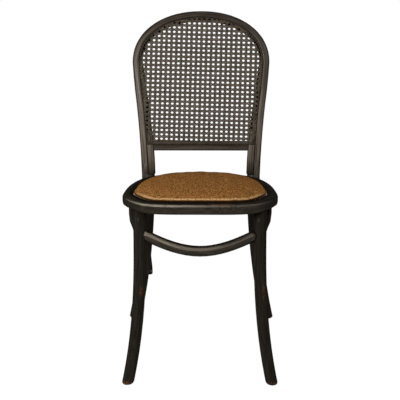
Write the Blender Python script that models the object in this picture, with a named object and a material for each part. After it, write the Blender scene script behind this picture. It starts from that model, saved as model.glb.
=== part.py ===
"""Bentwood dining chair with a caned back and a woven rattan seat.

Units are metres, +Z is up and the sitter looks along -Y. The pieces are modelled with the
seat's front edge at y = 0 and are then parented to one empty, which brings the middle of the
chair's footprint to the origin. Left and right are as seen by someone who faces the chair.
"""
import math

import bmesh
import bpy
import numpy as np
from mathutils import Vector

# Step for slopes, and the fits
STEP = 0.001
GAP = 0.0003
BORE_CLEARANCE = 0.0006

# Seat ring, cut in one bent band, with a ledge inside for the seat board
SEAT_TOP = 0.475
SEAT_WIDTH = 0.3974
SEAT_DEPTH = 0.399
RING_THICKNESS = 0.0272
RING_WIDTH = 0.0362
RING_TOP_ROUND = 0.0088
RING_UNDER_ROUND = 0.0058
LEDGE_WIDTH = 0.0100
LEDGE_DEPTH = 0.009

# Half of the seat's outline, as shares of the seat's depth and of half its width
SEAT_SHAPE = (
    (0.000, 0.000), (0.008, 0.525), (0.070, 0.765), (0.231, 0.964), (0.347, 1.000),
    (0.585, 0.957), (0.756, 0.857), (0.868, 0.707), (0.959, 0.435), (1.000, 0.000),
)
SEAT_STATIONS = 64

# Seat board and woven pad
BOARD_THICKNESS = 0.006
PAD_GAP = 0.0010
PAD_SIDE = 0.0090
PAD_ROUND = 0.0040
PAD_TUCK = 0.0016
PAD_CROWN = 0.0130
PAD_CROWN_POWER = 3.0
PAD_CROWN_RINGS = 5

# Bent hoop: both rear legs, both posts and the arch in one rod
HOOP_TOP = 0.9240
SHOULDER_SHARE = 0.692
HOOP_INSET = 0.0330
HOOP_FLARE = 0.0250
ARCH_POWER = 2.12
POST_INSET = 0.043
BACK_RAKE = 0.085
BACK_RAKE_POWER = 1.4
REAR_LEG_SPLAY = 0.0556
REAR_SPLAY_POWER = 1.92
REAR_LEG_RAKE = 0.136
REAR_RAKE_POWER = 1.9
ROD_WIDTH = 0.0362
ROD_DEPTH = 0.0325
FOOT_TAPER = 0.02
MEMBER_WIDTH = 0.0179
MEMBER_DEPTH = 0.0266
CREASE_ROUND = 0.0022
SHOULDER_RISE = 0.0025
SHOULDER_STEP = 0.0015

# How the posts flare, as shares of the way from the seat to the shoulder
POST_FLARE = ((0.0, 0.0), (0.17, 0.08), (0.387, 0.256), (0.6, 0.50), (0.81, 0.81), (1.0, 1.0))

# Shares of the cane frame's width that are left at shares of the way from the seat to the hoop's top
FRAME_TAPER = ((0.0, 1.0), (0.14, 1.0), (0.30, 0.885), (0.47, 0.765), (0.60, 0.66), (0.71, 0.50), (1.0, 0.47))

# Inner cane frame, back rail, cane net and the reed that holds the net
FRAME_WIDTH = 0.0198
FRAME_DEPTH = 0.019
FRAME_ROUND = 0.0045
RAIL_RISE = 0.069
RAIL_HEIGHT = 0.0270
RAIL_DEPTH = 0.017
RAIL_ROUND = 0.0035
REED_WIDTH = 0.0030
REED_HEIGHT = 0.0046
REED_GROOVE = 0.0030
REED_LEVEL = 0.0183
REED_ROUND = 0.0009
NET_THICKNESS = 0.0020
NET_COLUMN_PITCH = 0.0214
NET_ROW_PITCH = 0.0187
NET_OPEN = 0.62
NET_MARGIN = 0.0012

# Front legs
FRONT_LEG_INSET = 0.0487
FRONT_LEG_SETBACK = 0.0523
FRONT_LEG_WIDTH = 0.0328
FRONT_FOOT_WIDTH = 0.0300
FRONT_LEG_SPLAY = 0.0345
FRONT_SPLAY_POWER = 2.85
FRONT_LEG_SWEEP = 0.035
FRONT_SWEEP_POWER = 3.1
TENON_WIDTH = 0.020
TENON_LENGTH = 0.0140
FOOT_ROUND = 0.0065

# Bowed front stretcher
BOW_WIDTH = 0.0272
BOW_HEIGHT = 0.3421
BOW_RISE = 0.0383
BOW_REACH = 0.131
BOW_STRAIGHTEN = 0.144

# Bent side braces
BRACE_WIDTH = 0.021
BRACE_FRONT_HEIGHT = 0.175
BRACE_REAR_HEIGHT = 0.184
BRACE_LET_IN = 0.0020
BRACE_LAND = 0.0010
BRACE_POCKET = 0.0015
BRACE_TOP_SHARE = 0.489
BRACE_REAR_INSET = {"left": 0.0172, "right": 0.006}
BRACE_KNEE_HEIGHT = 0.305
BRACE_KNEE_STAND = 0.035
BRACE_KNEE_BELLY = 0.012
BRACE_STEM = 0.030
BRACE_TAIL = 0.010
BRACE_TIP = 0.003

# The brace's bend, from its highest point: inwards, back and up
BRACE_CURVE = ((0.0205, -0.094, -0.066), (0.0060, -0.072, -0.035), (0.0010, -0.036, -0.008),
               (0.0, 0.0, 0.0), (0.003, 0.040, -0.007), (0.0125, 0.095, -0.044))

# Hardware
SCREW_WIDTH = 0.0040
SCREW_HEAD_WIDTH = 0.0080
SCREW_HEAD_HEIGHT = 0.0028
BRACE_SCREW_LENGTH = 0.034
SEAT_SCREW_LENGTH = 0.023
BOLT_WIDTH = 0.0060
BOLT_HEAD_WIDTH = 0.0130
BOLT_HEAD_HEIGHT = 0.0038
WASHER_WIDTH = 0.0120
WASHER_THICKNESS = 0.0012
NUT_WIDTH = 0.0100
NUT_THICKNESS = 0.0050
BOLT_DROP = 0.0190
BOLT_SPOT = 0.0020
BOLT_OVERRUN = 0.0020
CHAMFER = 0.0008
DOWEL_WIDTH = 0.0080
DOWEL_LENGTH = 0.026
RAIL_DOWEL_LEVEL = 0.0095
SCREW_BEHIND_LEG = 0.030
REAR_SCREW_SHARE = 0.72

ROUND_SIDES = 16
BRACE_SIDES = 12
SMALL_SIDES = 8
HEX_STEPS = 12
LEG_STATIONS = 13
POST_STATIONS = 8
ARCH_STATIONS = 36
CUTTER_REACH = 0.02
UNDER_FLOOR = 0.02

SIDES = {"left": -1.0, "right": 1.0}
RING_UNDER = SEAT_TOP - RING_THICKNESS
HOOP_SHOULDER = SEAT_TOP + (HOOP_TOP - SEAT_TOP) * SHOULDER_SHARE
HOOP_SPREAD = SEAT_WIDTH - 2 * HOOP_INSET
HOOP_WIDTH = HOOP_SPREAD + 2 * HOOP_FLARE
POST_DEPTH = SEAT_DEPTH - POST_INSET
RAIL_BOTTOM = SEAT_TOP + RAIL_RISE
FRONT_LEG_SPACING = SEAT_WIDTH - 2 * FRONT_LEG_INSET
BRACE_TOP_DEPTH = SEAT_DEPTH * BRACE_TOP_SHARE
SEAT_SCREW_DEPTHS = {"front": FRONT_LEG_SETBACK + SCREW_BEHIND_LEG,
                     "rear": SEAT_DEPTH * REAR_SCREW_SHARE}
LEDGE_TOP = SEAT_TOP - LEDGE_DEPTH
PAD_INSET = RING_WIDTH - LEDGE_WIDTH + PAD_GAP
FRAME_START = MEMBER_WIDTH + GAP
FRAME_END = FRAME_START + FRAME_WIDTH
GROOVE_WIDTH = REED_WIDTH + 2 * GAP


def clear_scene():
    for item in list(bpy.data.objects):
        bpy.data.objects.remove(item, do_unlink=True)


def material(name, color, roughness, metallic=0.0):
    result = bpy.data.materials.new(name)
    result.use_nodes = True
    shader = result.node_tree.nodes["Principled BSDF"]
    shader.inputs["Base Color"].default_value = (*color, 1.0)
    shader.inputs["Roughness"].default_value = roughness
    shader.inputs["Metallic"].default_value = metallic
    result.diffuse_color = (*color, 1.0)
    return result


def mesh_object(name, bm, look, smooth_angle=40.0):
    """Turn a bmesh into an object with outward faces."""
    bmesh.ops.recalc_face_normals(bm, faces=bm.faces)
    mesh = bpy.data.meshes.new(name)
    bm.to_mesh(mesh)
    bm.free()
    mesh.shade_smooth()
    mesh.set_sharp_from_angle(angle=math.radians(smooth_angle))
    if look:
        mesh.materials.append(look)
    item = bpy.data.objects.new(name, mesh)
    bpy.context.scene.collection.objects.link(item)
    return item


def loft(rings, closed=False, into=None):
    """Skin rings of equal point count; an open loft gets a flat cap at each end."""
    bm = into or bmesh.new()
    loops = [[bm.verts.new(point) for point in ring] for ring in rings]
    count = len(loops[0])
    pairs = list(zip(loops, loops[1:]))
    if closed:
        pairs.append((loops[-1], loops[0]))
    for low, high in pairs:
        for i in range(count):
            j = (i + 1) % count
            bm.faces.new((low[i], low[j], high[j], high[i]))
    if not closed:
        bm.faces.new(loops[0])
        bm.faces.new(loops[-1])
    return bm


def ease(points, value):
    """Smooth curve through (position, height) points, level with its neighbours."""
    xs = np.array([p[0] for p in points])
    ys = np.array([p[1] for p in points])
    slopes = np.gradient(ys, xs)
    i = int(np.clip(np.searchsorted(xs, value) - 1, 0, len(xs) - 2))
    span = xs[i + 1] - xs[i]
    t = (value - xs[i]) / span
    start = (1 + 2 * t) * (1 - t) ** 2 * ys[i] + t * (1 - t) ** 2 * span * slopes[i]
    end = t * t * (3 - 2 * t) * ys[i + 1] + t * t * (t - 1) * span * slopes[i + 1]
    return float(start + end)


def smooth_route(points, steps):
    """Catmull-Rom route through 3-D points, with the same number of steps in each span."""
    anchors = [Vector(p) for p in points]
    anchors = [2 * anchors[0] - anchors[1]] + anchors + [2 * anchors[-1] - anchors[-2]]
    route = []
    for a, b, c, d in zip(anchors, anchors[1:], anchors[2:], anchors[3:]):
        for k in range(steps):
            t = k / steps
            route.append(0.5 * (2 * b + (c - a) * t + (2 * a - 5 * b + 4 * c - d) * t ** 2
                                + (3 * b - a - 3 * c + d) * t ** 3))
    route.append(anchors[-2])
    return route


def tube_rings(route, radii, sides=ROUND_SIDES):
    """Round sections square to a route, turned along it without twisting."""
    tangents = []
    for i in range(len(route)):
        ahead = route[min(i + 1, len(route) - 1)]
        behind = route[max(i - 1, 0)]
        tangents.append((ahead - behind).normalized())
    across = tangents[0].orthogonal().normalized()
    rings = []
    for point, tangent, radius in zip(route, tangents, radii):
        across = (across - tangent * across.dot(tangent)).normalized()
        other = tangent.cross(across)
        turns = [2 * math.pi * k / sides for k in range(sides)]
        rings.append([point + radius * (across * math.cos(a) + other * math.sin(a)) for a in turns])
    return rings


def corner_section(width, depth, outer_round, inner_round, steps=3):
    """Closed section from u = 0 (outer edge) to width, rounded more at its outer corners."""
    corners = (
        (outer_round, -depth / 2 + outer_round, outer_round, 180),
        (width - inner_round, -depth / 2 + inner_round, inner_round, 270),
        (width - inner_round, depth / 2 - inner_round, inner_round, 0),
        (outer_round, depth / 2 - outer_round, outer_round, 90),
    )
    points = []
    for u, v, radius, start in corners:
        for k in range(steps + 1):
            angle = math.radians(start + 90 * k / steps)
            points.append((u + radius * math.cos(angle), v + radius * math.sin(angle)))
    return points


def turned_rings(start, axis, profile, sides):
    """Round sections along a straight axis, from (distance, radius) pairs."""
    across = axis.orthogonal().normalized()
    other = axis.cross(across)
    turns = [2 * math.pi * k / sides for k in range(sides)]
    spokes = [across * math.cos(a) + other * math.sin(a) for a in turns]
    return [[start + axis * reach + spoke * radius for spoke in spokes] for reach, radius in profile]


def cut(target, cutter):
    """Take a hidden cutter out of a piece."""
    cutter.hide_render = True
    cutter.display_type = "WIRE"
    modifier = target.modifiers.new(cutter.name, "BOOLEAN")
    modifier.operation = "DIFFERENCE"
    modifier.solver = "EXACT"
    modifier.object = cutter


def bore(target, holes):
    """Cut round stepped holes, each given as start, axis, profile and sides, out of a piece."""
    bm = bmesh.new()
    for start, axis, profile, sides in holes:
        loft(turned_rings(start, axis, profile, sides), into=bm)
    cut(target, mesh_object(target.name + "_bores", bm, None))


def flatten_foot(bm, level):
    """Saw a leg off level and round the edge of the sawn face."""
    geometry = bm.verts[:] + bm.edges[:] + bm.faces[:]
    sawn = bmesh.ops.bisect_plane(bm, geom=geometry, plane_co=(0, 0, level),
                                  plane_no=(0, 0, 1), clear_inner=True)
    rim = [item for item in sawn["geom_cut"] if isinstance(item, bmesh.types.BMEdge)]
    bmesh.ops.holes_fill(bm, edges=rim)
    bmesh.ops.bevel(bm, geom=rim, offset=FOOT_ROUND, segments=3, profile=0.5, affect="EDGES")


def saw_top(bm, level):
    """Plane a flat seat on top of a bent rod."""
    geometry = bm.verts[:] + bm.edges[:] + bm.faces[:]
    sawn = bmesh.ops.bisect_plane(bm, geom=geometry, plane_co=(0, 0, level),
                                  plane_no=(0, 0, 1), clear_outer=True)
    rim = [item for item in sawn["geom_cut"] if isinstance(item, bmesh.types.BMEdge)]
    bmesh.ops.holes_fill(bm, edges=rim)


# Seat outline
def seat_loop(inset):
    """Points of the seat's outline, moved inwards by a distance."""
    half = [(x * SEAT_WIDTH / 2, y * SEAT_DEPTH) for y, x in SEAT_SHAPE]
    ring = half + [(-x, y) for x, y in reversed(half[1:-1])]
    count = len(ring)
    dense = []
    for i in range(count):
        a, b, c, d = (Vector(ring[(i + k) % count]) for k in (-1, 0, 1, 2))
        for k in range(12):
            t = k / 12
            dense.append(0.5 * (2 * b + (c - a) * t + (2 * a - 5 * b + 4 * c - d) * t ** 2
                                + (3 * b - a - 3 * c + d) * t ** 3))
    return inset_loop(even_loop(dense, SEAT_STATIONS), inset)


def even_loop(points, count):
    """Resample a closed loop at equal steps along its length."""
    closed = points + points[:1]
    steps = [0.0]
    for a, b in zip(closed, closed[1:]):
        steps.append(steps[-1] + (b - a).length)
    wanted = [steps[-1] * k / count for k in range(count)]
    xs = np.interp(wanted, steps, [p.x for p in closed])
    ys = np.interp(wanted, steps, [p.y for p in closed])
    return [Vector((float(x), float(y))) for x, y in zip(xs, ys)]


def inset_loop(loop, distance):
    """Move each point of a counter-clockwise loop inwards, square to the loop."""
    count = len(loop)
    result = []
    for i, point in enumerate(loop):
        before = (point - loop[i - 1]).normalized()
        after = (loop[(i + 1) % count] - point).normalized()
        mid = (before + after).normalized()
        inward = Vector((-mid.y, mid.x))
        result.append(point + inward * (distance / max(mid.dot(after), 0.5)))
    return result


def loop_at(inset, depth, side):
    """Point of an inset seat outline at a depth on one side."""
    points = [p for p in seat_loop(inset) if p.x * SIDES[side] > 0]
    points.sort(key=lambda p: p.y)
    x = np.interp(depth, [p.y for p in points], [p.x for p in points])
    return Vector((float(x), depth))


def ray_to_loop(origin, direction, loop):
    """Distance from a point, along a direction, to the first crossing of a closed loop."""
    hits = []
    for a, b in zip(loop, loop[1:] + loop[:1]):
        edge = b - a
        bottom = direction.x * edge.y - direction.y * edge.x
        if abs(bottom) < 1e-9:
            continue
        start = a - origin
        along = (start.x * edge.y - start.y * edge.x) / bottom
        share = (start.x * direction.y - start.y * direction.x) / bottom
        if 0 <= share <= 1 and along > 0:
            hits.append(along)
    return min(hits)


# Back surface
def back_depth(z):
    """Depth of the hoop's middle surface at a height."""
    if z < SEAT_TOP:
        down = (SEAT_TOP - z) / SEAT_TOP
        return POST_DEPTH + REAR_LEG_RAKE * down ** REAR_RAKE_POWER
    up = (z - SEAT_TOP) / (HOOP_TOP - SEAT_TOP)
    return POST_DEPTH + BACK_RAKE * up ** BACK_RAKE_POWER


def on_back(x, z, forward):
    """Point at a distance in front of the hoop's middle surface."""
    slope = (back_depth(z + STEP) - back_depth(z - STEP)) / (2 * STEP)
    normal = Vector((0, -1, slope)).normalized()
    return Vector((x, back_depth(z), z)) + normal * forward


def rear_leg_middle(z):
    """Half spacing of the rear legs' centre lines at a height under the seat."""
    down = max(0.0, (SEAT_TOP - z) / SEAT_TOP)
    return HOOP_SPREAD / 2 - ROD_WIDTH / 2 + REAR_LEG_SPLAY * down ** REAR_SPLAY_POWER


def rod_share(z):
    """How much of the rod's full size is left at a height, for the taper to the foot."""
    return 1 - FOOT_TAPER * max(0.0, SEAT_TOP - z) / SEAT_TOP


def post_edge(z):
    """Half width of the hoop over its outer edges, between the seat and the shoulder."""
    up = (z - SEAT_TOP) / (HOOP_SHOULDER - SEAT_TOP)
    return HOOP_SPREAD / 2 + (HOOP_WIDTH - HOOP_SPREAD) / 2 * ease(POST_FLARE, up)


def arch_edge(angle):
    """Outer edge of the arch, from the right shoulder at 0 over the crown to the left one."""
    c, s = math.cos(angle), math.sin(angle)
    x = math.copysign(abs(c) ** (2 / ARCH_POWER), c) * HOOP_WIDTH / 2
    z = HOOP_SHOULDER + (HOOP_TOP - HOOP_SHOULDER) * abs(s) ** (2 / ARCH_POWER)
    return Vector((x, z))


def back_edge(start, count=POST_STATIONS, arch=ARCH_STATIONS):
    """Outer edge of the posts and arch in the front view, from right to left."""
    heights = [start + (HOOP_SHOULDER - start) * k / count for k in range(count)]
    right = [Vector((post_edge(z), z)) for z in heights]
    over = [arch_edge(math.pi * k / arch) for k in range(arch + 1)]
    left = [Vector((-p.x, p.y)) for p in reversed(right)]
    return right + over + left


def frame_narrowing(z):
    """How much of the cane frame's full width is gone at a height."""
    up = max(0.0, (z - SEAT_TOP) / (HOOP_TOP - SEAT_TOP))
    return FRAME_WIDTH * (1 - ease(FRAME_TAPER, up))


def inset_edge(edge, distance, tapered=False):
    """Move an open edge inwards, less where the frame narrows if tapered; its ends keep their height."""
    result = []
    last = len(edge) - 1
    for i, point in enumerate(edge):
        along = (edge[min(i + 1, last)] - edge[max(i - 1, 0)]).normalized()
        inward = Vector((-along.y, along.x))
        inset = distance - (frame_narrowing(point.y) if tapered else 0.0)
        moved = point + inward * inset
        if i in (0, last):
            moved = Vector((point.x - math.copysign(inset / abs(along.y), point.x), point.y))
        result.append(moved)
    return result


def back_member(start, section, tapered_from=math.inf):
    """Rings of a member along the posts and the arch, tapered with the frame beyond a distance in."""
    edge = back_edge(start)
    lanes = [inset_edge(edge, u, u > tapered_from) for u, v in section]
    rings = []
    for i in range(len(edge)):
        rings.append([on_back(lane[i].x, lane[i].y, -v) for lane, (u, v) in zip(lanes, section)])
    return rings


def leg_rings(side, heights, extra=0.0):
    """Rings of one rear leg, each square to the leg in the front view."""
    rings = []
    for z in heights:
        share = rod_share(z)
        width = ROD_WIDTH * share + 2 * extra
        depth = ROD_DEPTH * share + 2 * extra
        section = corner_section(width, depth, depth * 0.49, depth * 0.49)
        slope = (rear_leg_middle(z + STEP) - rear_leg_middle(z - STEP)) / (2 * STEP)
        along = Vector((slope, 1)).normalized()
        outward = Vector((along.y, -along.x))
        middle = Vector((rear_leg_middle(z), z))
        ring = []
        for u, v in section:
            spot = middle + outward * (width / 2 - u)
            ring.append(on_back(spot.x * SIDES[side], spot.y, -v))
        rings.append(ring)
    return rings


def leg_heights():
    """Heights of the rear legs' rings, from under the floor up to the shoulder."""
    shoulder = SEAT_TOP + SHOULDER_RISE
    tall = shoulder + UNDER_FLOOR
    return [tall * k / LEG_STATIONS - UNDER_FLOOR for k in range(LEG_STATIONS + 1)]


def make_hoop(look):
    """Rear legs, posts and arch as one bent rod, half cut away above the seat."""
    heights = leg_heights()
    full = leg_rings("right", heights)
    half = corner_section(MEMBER_WIDTH, MEMBER_DEPTH, MEMBER_DEPTH * 0.44, CREASE_ROUND)
    upper = back_member(heights[-1] + SHOULDER_STEP, half)
    left = leg_rings("left", list(reversed(heights)))
    bm = loft(full + upper + left)
    flatten_foot(bm, 0.0)
    return mesh_object("back_hoop", bm, look)


def rear_leg_cutter(side):
    """Rear leg with its clearance, for the ring's housing and the brace's seat."""
    rings = leg_rings(side, leg_heights(), GAP)
    return mesh_object("rear_leg_clearance_" + side, loft(rings), None)


def make_cane_frame(look):
    """Inner member that runs along the hoop and stands on its shoulders."""
    section = corner_section(FRAME_WIDTH, FRAME_DEPTH, CREASE_ROUND, FRAME_ROUND, 2)
    section = [(u + FRAME_START, v) for u, v in section]
    start = SEAT_TOP + SHOULDER_RISE + SHOULDER_STEP + GAP
    return mesh_object("cane_frame", loft(back_member(start, section, FRAME_START + FRAME_WIDTH / 2)), look)


def frame_inner_edge(z):
    """Half spacing of the cane frame's inner faces at a height."""
    inner = inset_edge(back_edge(SEAT_TOP), FRAME_END, True)
    right = sorted((p.y, p.x) for p in inner if p.x > 0 and p.y < HOOP_SHOULDER)
    return float(np.interp(z, [p[0] for p in right], [p[1] for p in right]))


def make_rail(look):
    """Cross rail between the cane frame's stiles, flush with their front."""
    front = FRAME_DEPTH / 2
    section = []
    for across, up, start in ((0, 0, 270), (0, 1, 0), (1, 1, 90), (1, 0, 180)):
        corner_z = RAIL_BOTTOM + RAIL_ROUND + up * (RAIL_HEIGHT - 2 * RAIL_ROUND)
        corner_v = front - RAIL_ROUND - across * (RAIL_DEPTH - 2 * RAIL_ROUND)
        for k in range(4):
            turn = math.radians(start + 30 * k)
            z = corner_z + RAIL_ROUND * math.sin(turn)
            section.append((corner_v + RAIL_ROUND * math.cos(turn), z))
    rings = []
    for sign in (-1, 1):
        ring = []
        for v, z in section:
            reach = frame_inner_edge(on_back(0, z, v).z) - GAP
            ring.append(on_back(sign * reach, z, v))
        rings.append(ring)
    return mesh_object("back_rail", loft(rings), look)


def cane_loop(inset, bottom, tapered=False):
    """Closed loop in the front view: an inset of the hoop's edge, closed level at the bottom."""
    edge = inset_edge(back_edge(RAIL_BOTTOM + RAIL_HEIGHT, 9, 44), inset, tapered)
    first, second = edge[0], edge[1]
    corner = first.lerp(second, (bottom - first.y) / (second.y - first.y)).x
    level = [Vector((-corner + 2 * corner * k / 8, bottom)) for k in range(9)]
    return edge + level


def loop_band(loops, levels):
    """Rings that follow a closed loop; each lane has its own inset loop and level."""
    rings = []
    for i in range(len(loops[0])):
        rings.append([on_back(lane[i].x, lane[i].y, level) for lane, level in zip(loops, levels)])
    return loft(rings, closed=True)


def make_reed(look):
    """Reed that is pressed into the groove round the cane."""
    outer = FRAME_START + GAP
    bottom = RAIL_BOTTOM + REED_LEVEL - REED_WIDTH / 2
    low = FRAME_DEPTH / 2 - REED_GROOVE + GAP
    high = low + REED_HEIGHT
    lanes = [(0.0, low), (0.0, high - REED_ROUND), (REED_ROUND, high),
             (REED_WIDTH - REED_ROUND, high), (REED_WIDTH, high - REED_ROUND), (REED_WIDTH, low)]
    loops = [cane_loop(outer + step, bottom + step) for step, level in lanes]
    return mesh_object("cane_reed", loop_band(loops, [level for step, level in lanes]), look)


def groove_cutter():
    """Groove for the reed, cut into the cane frame and the rail, open beside the hoop."""
    low = FRAME_DEPTH / 2 - REED_GROOVE
    high = FRAME_DEPTH / 2 + REED_GROOVE
    inner = FRAME_START + GROOVE_WIDTH
    bottom = RAIL_BOTTOM + REED_LEVEL - REED_WIDTH / 2 - GAP
    outer_loop = cane_loop(FRAME_START - REED_GROOVE, bottom)
    inner_loop = cane_loop(inner, bottom + GROOVE_WIDTH)
    loops = [outer_loop, outer_loop, inner_loop, inner_loop]
    return mesh_object("reed_groove", loop_band(loops, [low, high, high, low]), None)


def make_net(look):
    """Flat cane net: rows of square gaps up to the frame, in one bent sheet."""
    inset = FRAME_START + GROOVE_WIDTH + GAP
    bottom = RAIL_BOTTOM + REED_LEVEL + REED_WIDTH / 2 + GAP
    outline = cane_loop(inset, bottom)
    clear = cane_loop(FRAME_END + NET_MARGIN, bottom, True)
    open_top = max(p.y for p in clear)

    def reach(z, loop):
        right = [loop[-1]] + [p for p in loop if p.x > 0 and p.y > bottom + GAP]
        return float(np.interp(z, [p.y for p in right], [p.x for p in right]))

    hole_height = NET_ROW_PITCH * NET_OPEN
    hole_width = NET_COLUMN_PITCH * NET_OPEN
    first = RAIL_BOTTOM + RAIL_HEIGHT + NET_MARGIN
    rows = int((open_top - first - hole_height) / NET_ROW_PITCH) + 1
    bm = bmesh.new()
    spots = {}

    def vertex(x, z):
        key = (round(x, 6), round(z, 6))
        if key not in spots:
            spots[key] = bm.verts.new(on_back(x, z, FRAME_DEPTH / 2 + GAP))
        return spots[key]

    def gaps_in_row(low, high):
        edges = []
        limit = min(reach(low, clear), reach(high, clear))
        columns = int((limit + hole_width / 2) / NET_COLUMN_PITCH)
        for k in range(-columns, columns + 1):
            middle = k * NET_COLUMN_PITCH
            if abs(middle) + hole_width / 2 <= limit:
                edges += [middle - hole_width / 2, middle + hole_width / 2]
        return edges

    below = [-reach(bottom, outline), reach(bottom, outline)]
    level = bottom
    total = 0
    for row in range(rows):
        low = first + row * NET_ROW_PITCH
        high = low + hole_height
        gaps = gaps_in_row(low, high)
        if not gaps:
            break
        total += len(gaps) // 2
        lower = [-reach(low, outline)] + gaps + [reach(low, outline)]
        upper = [-reach(high, outline)] + gaps + [reach(high, outline)]
        bm.faces.new([vertex(x, level) for x in below] + [vertex(x, low) for x in reversed(lower)])
        for k in range(0, len(lower), 2):
            bm.faces.new((vertex(lower[k], low), vertex(lower[k + 1], low),
                          vertex(upper[k + 1], high), vertex(upper[k], high)))
        below, level = upper, high
    crown = sorted((p for p in outline if p.y > level + 1e-4), key=lambda p: -p.x)
    bm.faces.new([vertex(x, level) for x in below] + [vertex(p.x, p.y) for p in crown])
    print("gaps in the cane net:", total)
    net = mesh_object("cane_panel", bm, look)
    thick = net.modifiers.new("thickness", "SOLIDIFY")
    thick.thickness = NET_THICKNESS
    faces_front = net.data.polygons[0].normal.y < 0
    thick.offset = 1.0 if faces_front else -1.0
    return net


# Seat
def make_ring(look):
    """Seat ring, a rounded band with a ledge at the top of its inner edge."""
    lanes = []
    for k in range(5):
        turn = math.radians(90 * k / 4)
        lanes.append((RING_TOP_ROUND * (1 - math.sin(turn)),
                      SEAT_TOP - RING_TOP_ROUND * (1 - math.cos(turn))))
    for k in range(4):
        turn = math.radians(90 * k / 3)
        lanes.append((RING_UNDER_ROUND * (1 - math.cos(turn)),
                      RING_UNDER + RING_UNDER_ROUND * (1 - math.sin(turn))))
    lanes += [(RING_WIDTH, RING_UNDER), (RING_WIDTH, LEDGE_TOP),
              (RING_WIDTH - LEDGE_WIDTH, LEDGE_TOP), (RING_WIDTH - LEDGE_WIDTH, SEAT_TOP)]
    loops = [seat_loop(inset) for inset, z in lanes]
    rings = []
    for i in range(SEAT_STATIONS):
        rings.append([Vector((*loop[i], z)) for loop, (inset, z) in zip(loops, lanes)])
    return mesh_object("seat_ring", loft(rings, closed=True), look)


def make_board(look):
    """Seat board that lies on the ring's ledge."""
    bottom = LEDGE_TOP + GAP
    rings = []
    for z in (bottom, bottom + BOARD_THICKNESS):
        rings.append([Vector((*p, z)) for p in seat_loop(PAD_INSET)])
    return mesh_object("seat_board", loft(rings), look)


def make_pad(look):
    """Woven pad: tucked side, rounded rim and a low crown."""
    base = LEDGE_TOP + BOARD_THICKNESS + 2 * GAP
    rim = base + PAD_SIDE
    steps = [(PAD_TUCK, base), (PAD_TUCK * 0.3, base + PAD_SIDE * 0.25), (0.0, rim - PAD_ROUND)]
    for k in range(1, 4):
        turn = math.radians(90 * k / 3)
        steps.append((PAD_ROUND * (1 - math.cos(turn)), rim - PAD_ROUND * (1 - math.sin(turn))))
    rings = [[Vector((*p, z)) for p in seat_loop(PAD_INSET + inset)] for inset, z in steps]
    edge = seat_loop(PAD_INSET + PAD_ROUND)
    middle = Vector((0.0, sum(p.y for p in edge) / len(edge)))
    for k in range(1, PAD_CROWN_RINGS + 1):
        share = 1 - k / (PAD_CROWN_RINGS + 1)
        lift = PAD_CROWN * (1 - share ** PAD_CROWN_POWER)
        rings.append([Vector((*middle.lerp(p, share), rim + lift)) for p in edge])
    return mesh_object("seat_pad", loft(rings), look)


# Front legs and stretchers
def front_leg_axis(side, z):
    """Centre of a front leg at a height."""
    down = max(0.0, (RING_UNDER - z) / RING_UNDER)
    x = FRONT_LEG_SPACING / 2 + FRONT_LEG_SPLAY * down ** FRONT_SPLAY_POWER
    y = FRONT_LEG_SETBACK - FRONT_LEG_SWEEP * down ** FRONT_SWEEP_POWER
    return Vector((x * SIDES[side], y, z))


def front_leg_radius(z):
    share = min(1.0, max(0.0, z / RING_UNDER))
    return (FRONT_FOOT_WIDTH + (FRONT_LEG_WIDTH - FRONT_FOOT_WIDTH) * share) / 2


def front_leg_rings(side, heights, extra=0.0):
    route = [front_leg_axis(side, z) for z in heights]
    return tube_rings(route, [front_leg_radius(z) + extra for z in heights])


def front_leg_heights():
    """Heights of a front leg's rings, from under the floor up to the seat ring."""
    top = RING_UNDER - GAP
    return [(top + UNDER_FLOOR) * k / LEG_STATIONS - UNDER_FLOOR for k in range(LEG_STATIONS + 1)]


def make_front_leg(side, look):
    """Front leg with a round tenon that stands in the seat ring."""
    top = RING_UNDER - GAP
    rings = front_leg_rings(side, front_leg_heights())
    full = rings[-1]
    axis = front_leg_axis(side, top)
    share = TENON_WIDTH / 2 / front_leg_radius(top)
    for rise, narrow in ((0.0, share), (TENON_LENGTH - CHAMFER, share), (TENON_LENGTH, share * 0.9)):
        rings.append([axis + (p - axis) * narrow + Vector((0, 0, rise)) for p in full])
    bm = loft(rings)
    flatten_foot(bm, 0.0)
    return mesh_object("front_leg_" + side, bm, look)


def front_leg_cutter(side):
    """Front leg with its clearance, for the ends of the bow and the brace."""
    rings = front_leg_rings(side, front_leg_heights(), GAP)
    return mesh_object("front_leg_clearance_" + side, loft(rings), None)


def bow_height(x):
    curl = math.sqrt(1 + (BOW_REACH / BOW_STRAIGHTEN) ** 2) - 1
    return BOW_HEIGHT + BOW_RISE * (math.sqrt(1 + (x / BOW_STRAIGHTEN) ** 2) - 1) / curl


def make_bow(look):
    """Bowed front stretcher, coped at each end to its leg."""
    reach = FRONT_LEG_SPACING / 2
    route = []
    for k in range(19):
        x = -reach + 2 * reach * k / 18
        route.append(Vector((x, FRONT_LEG_SETBACK, bow_height(x))))
    rings = tube_rings(route, [BOW_WIDTH / 2] * len(route))
    return mesh_object("front_bow", loft(rings), look)


def brace_ends(side):
    """Centres of a brace's two ends, let into the legs, and the legs' axes there."""
    radius = BRACE_WIDTH / 2
    front_axis = front_leg_axis(side, BRACE_FRONT_HEIGHT)
    reach = front_leg_radius(BRACE_FRONT_HEIGHT) + radius - BRACE_LET_IN
    front = front_axis + Vector((0, reach, 0))
    z = BRACE_REAR_HEIGHT
    rear_axis = Vector((rear_leg_middle(z) * SIDES[side], back_depth(z), z))
    inset = BRACE_REAR_INSET[side]
    apart = (ROD_WIDTH + ROD_DEPTH) / 4 * rod_share(z) + radius - BRACE_LET_IN
    back = math.sqrt(apart ** 2 - inset ** 2)
    rear = rear_axis - Vector((inset * SIDES[side], back, 0))
    return (front, front_axis), (rear, rear_axis)


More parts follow.
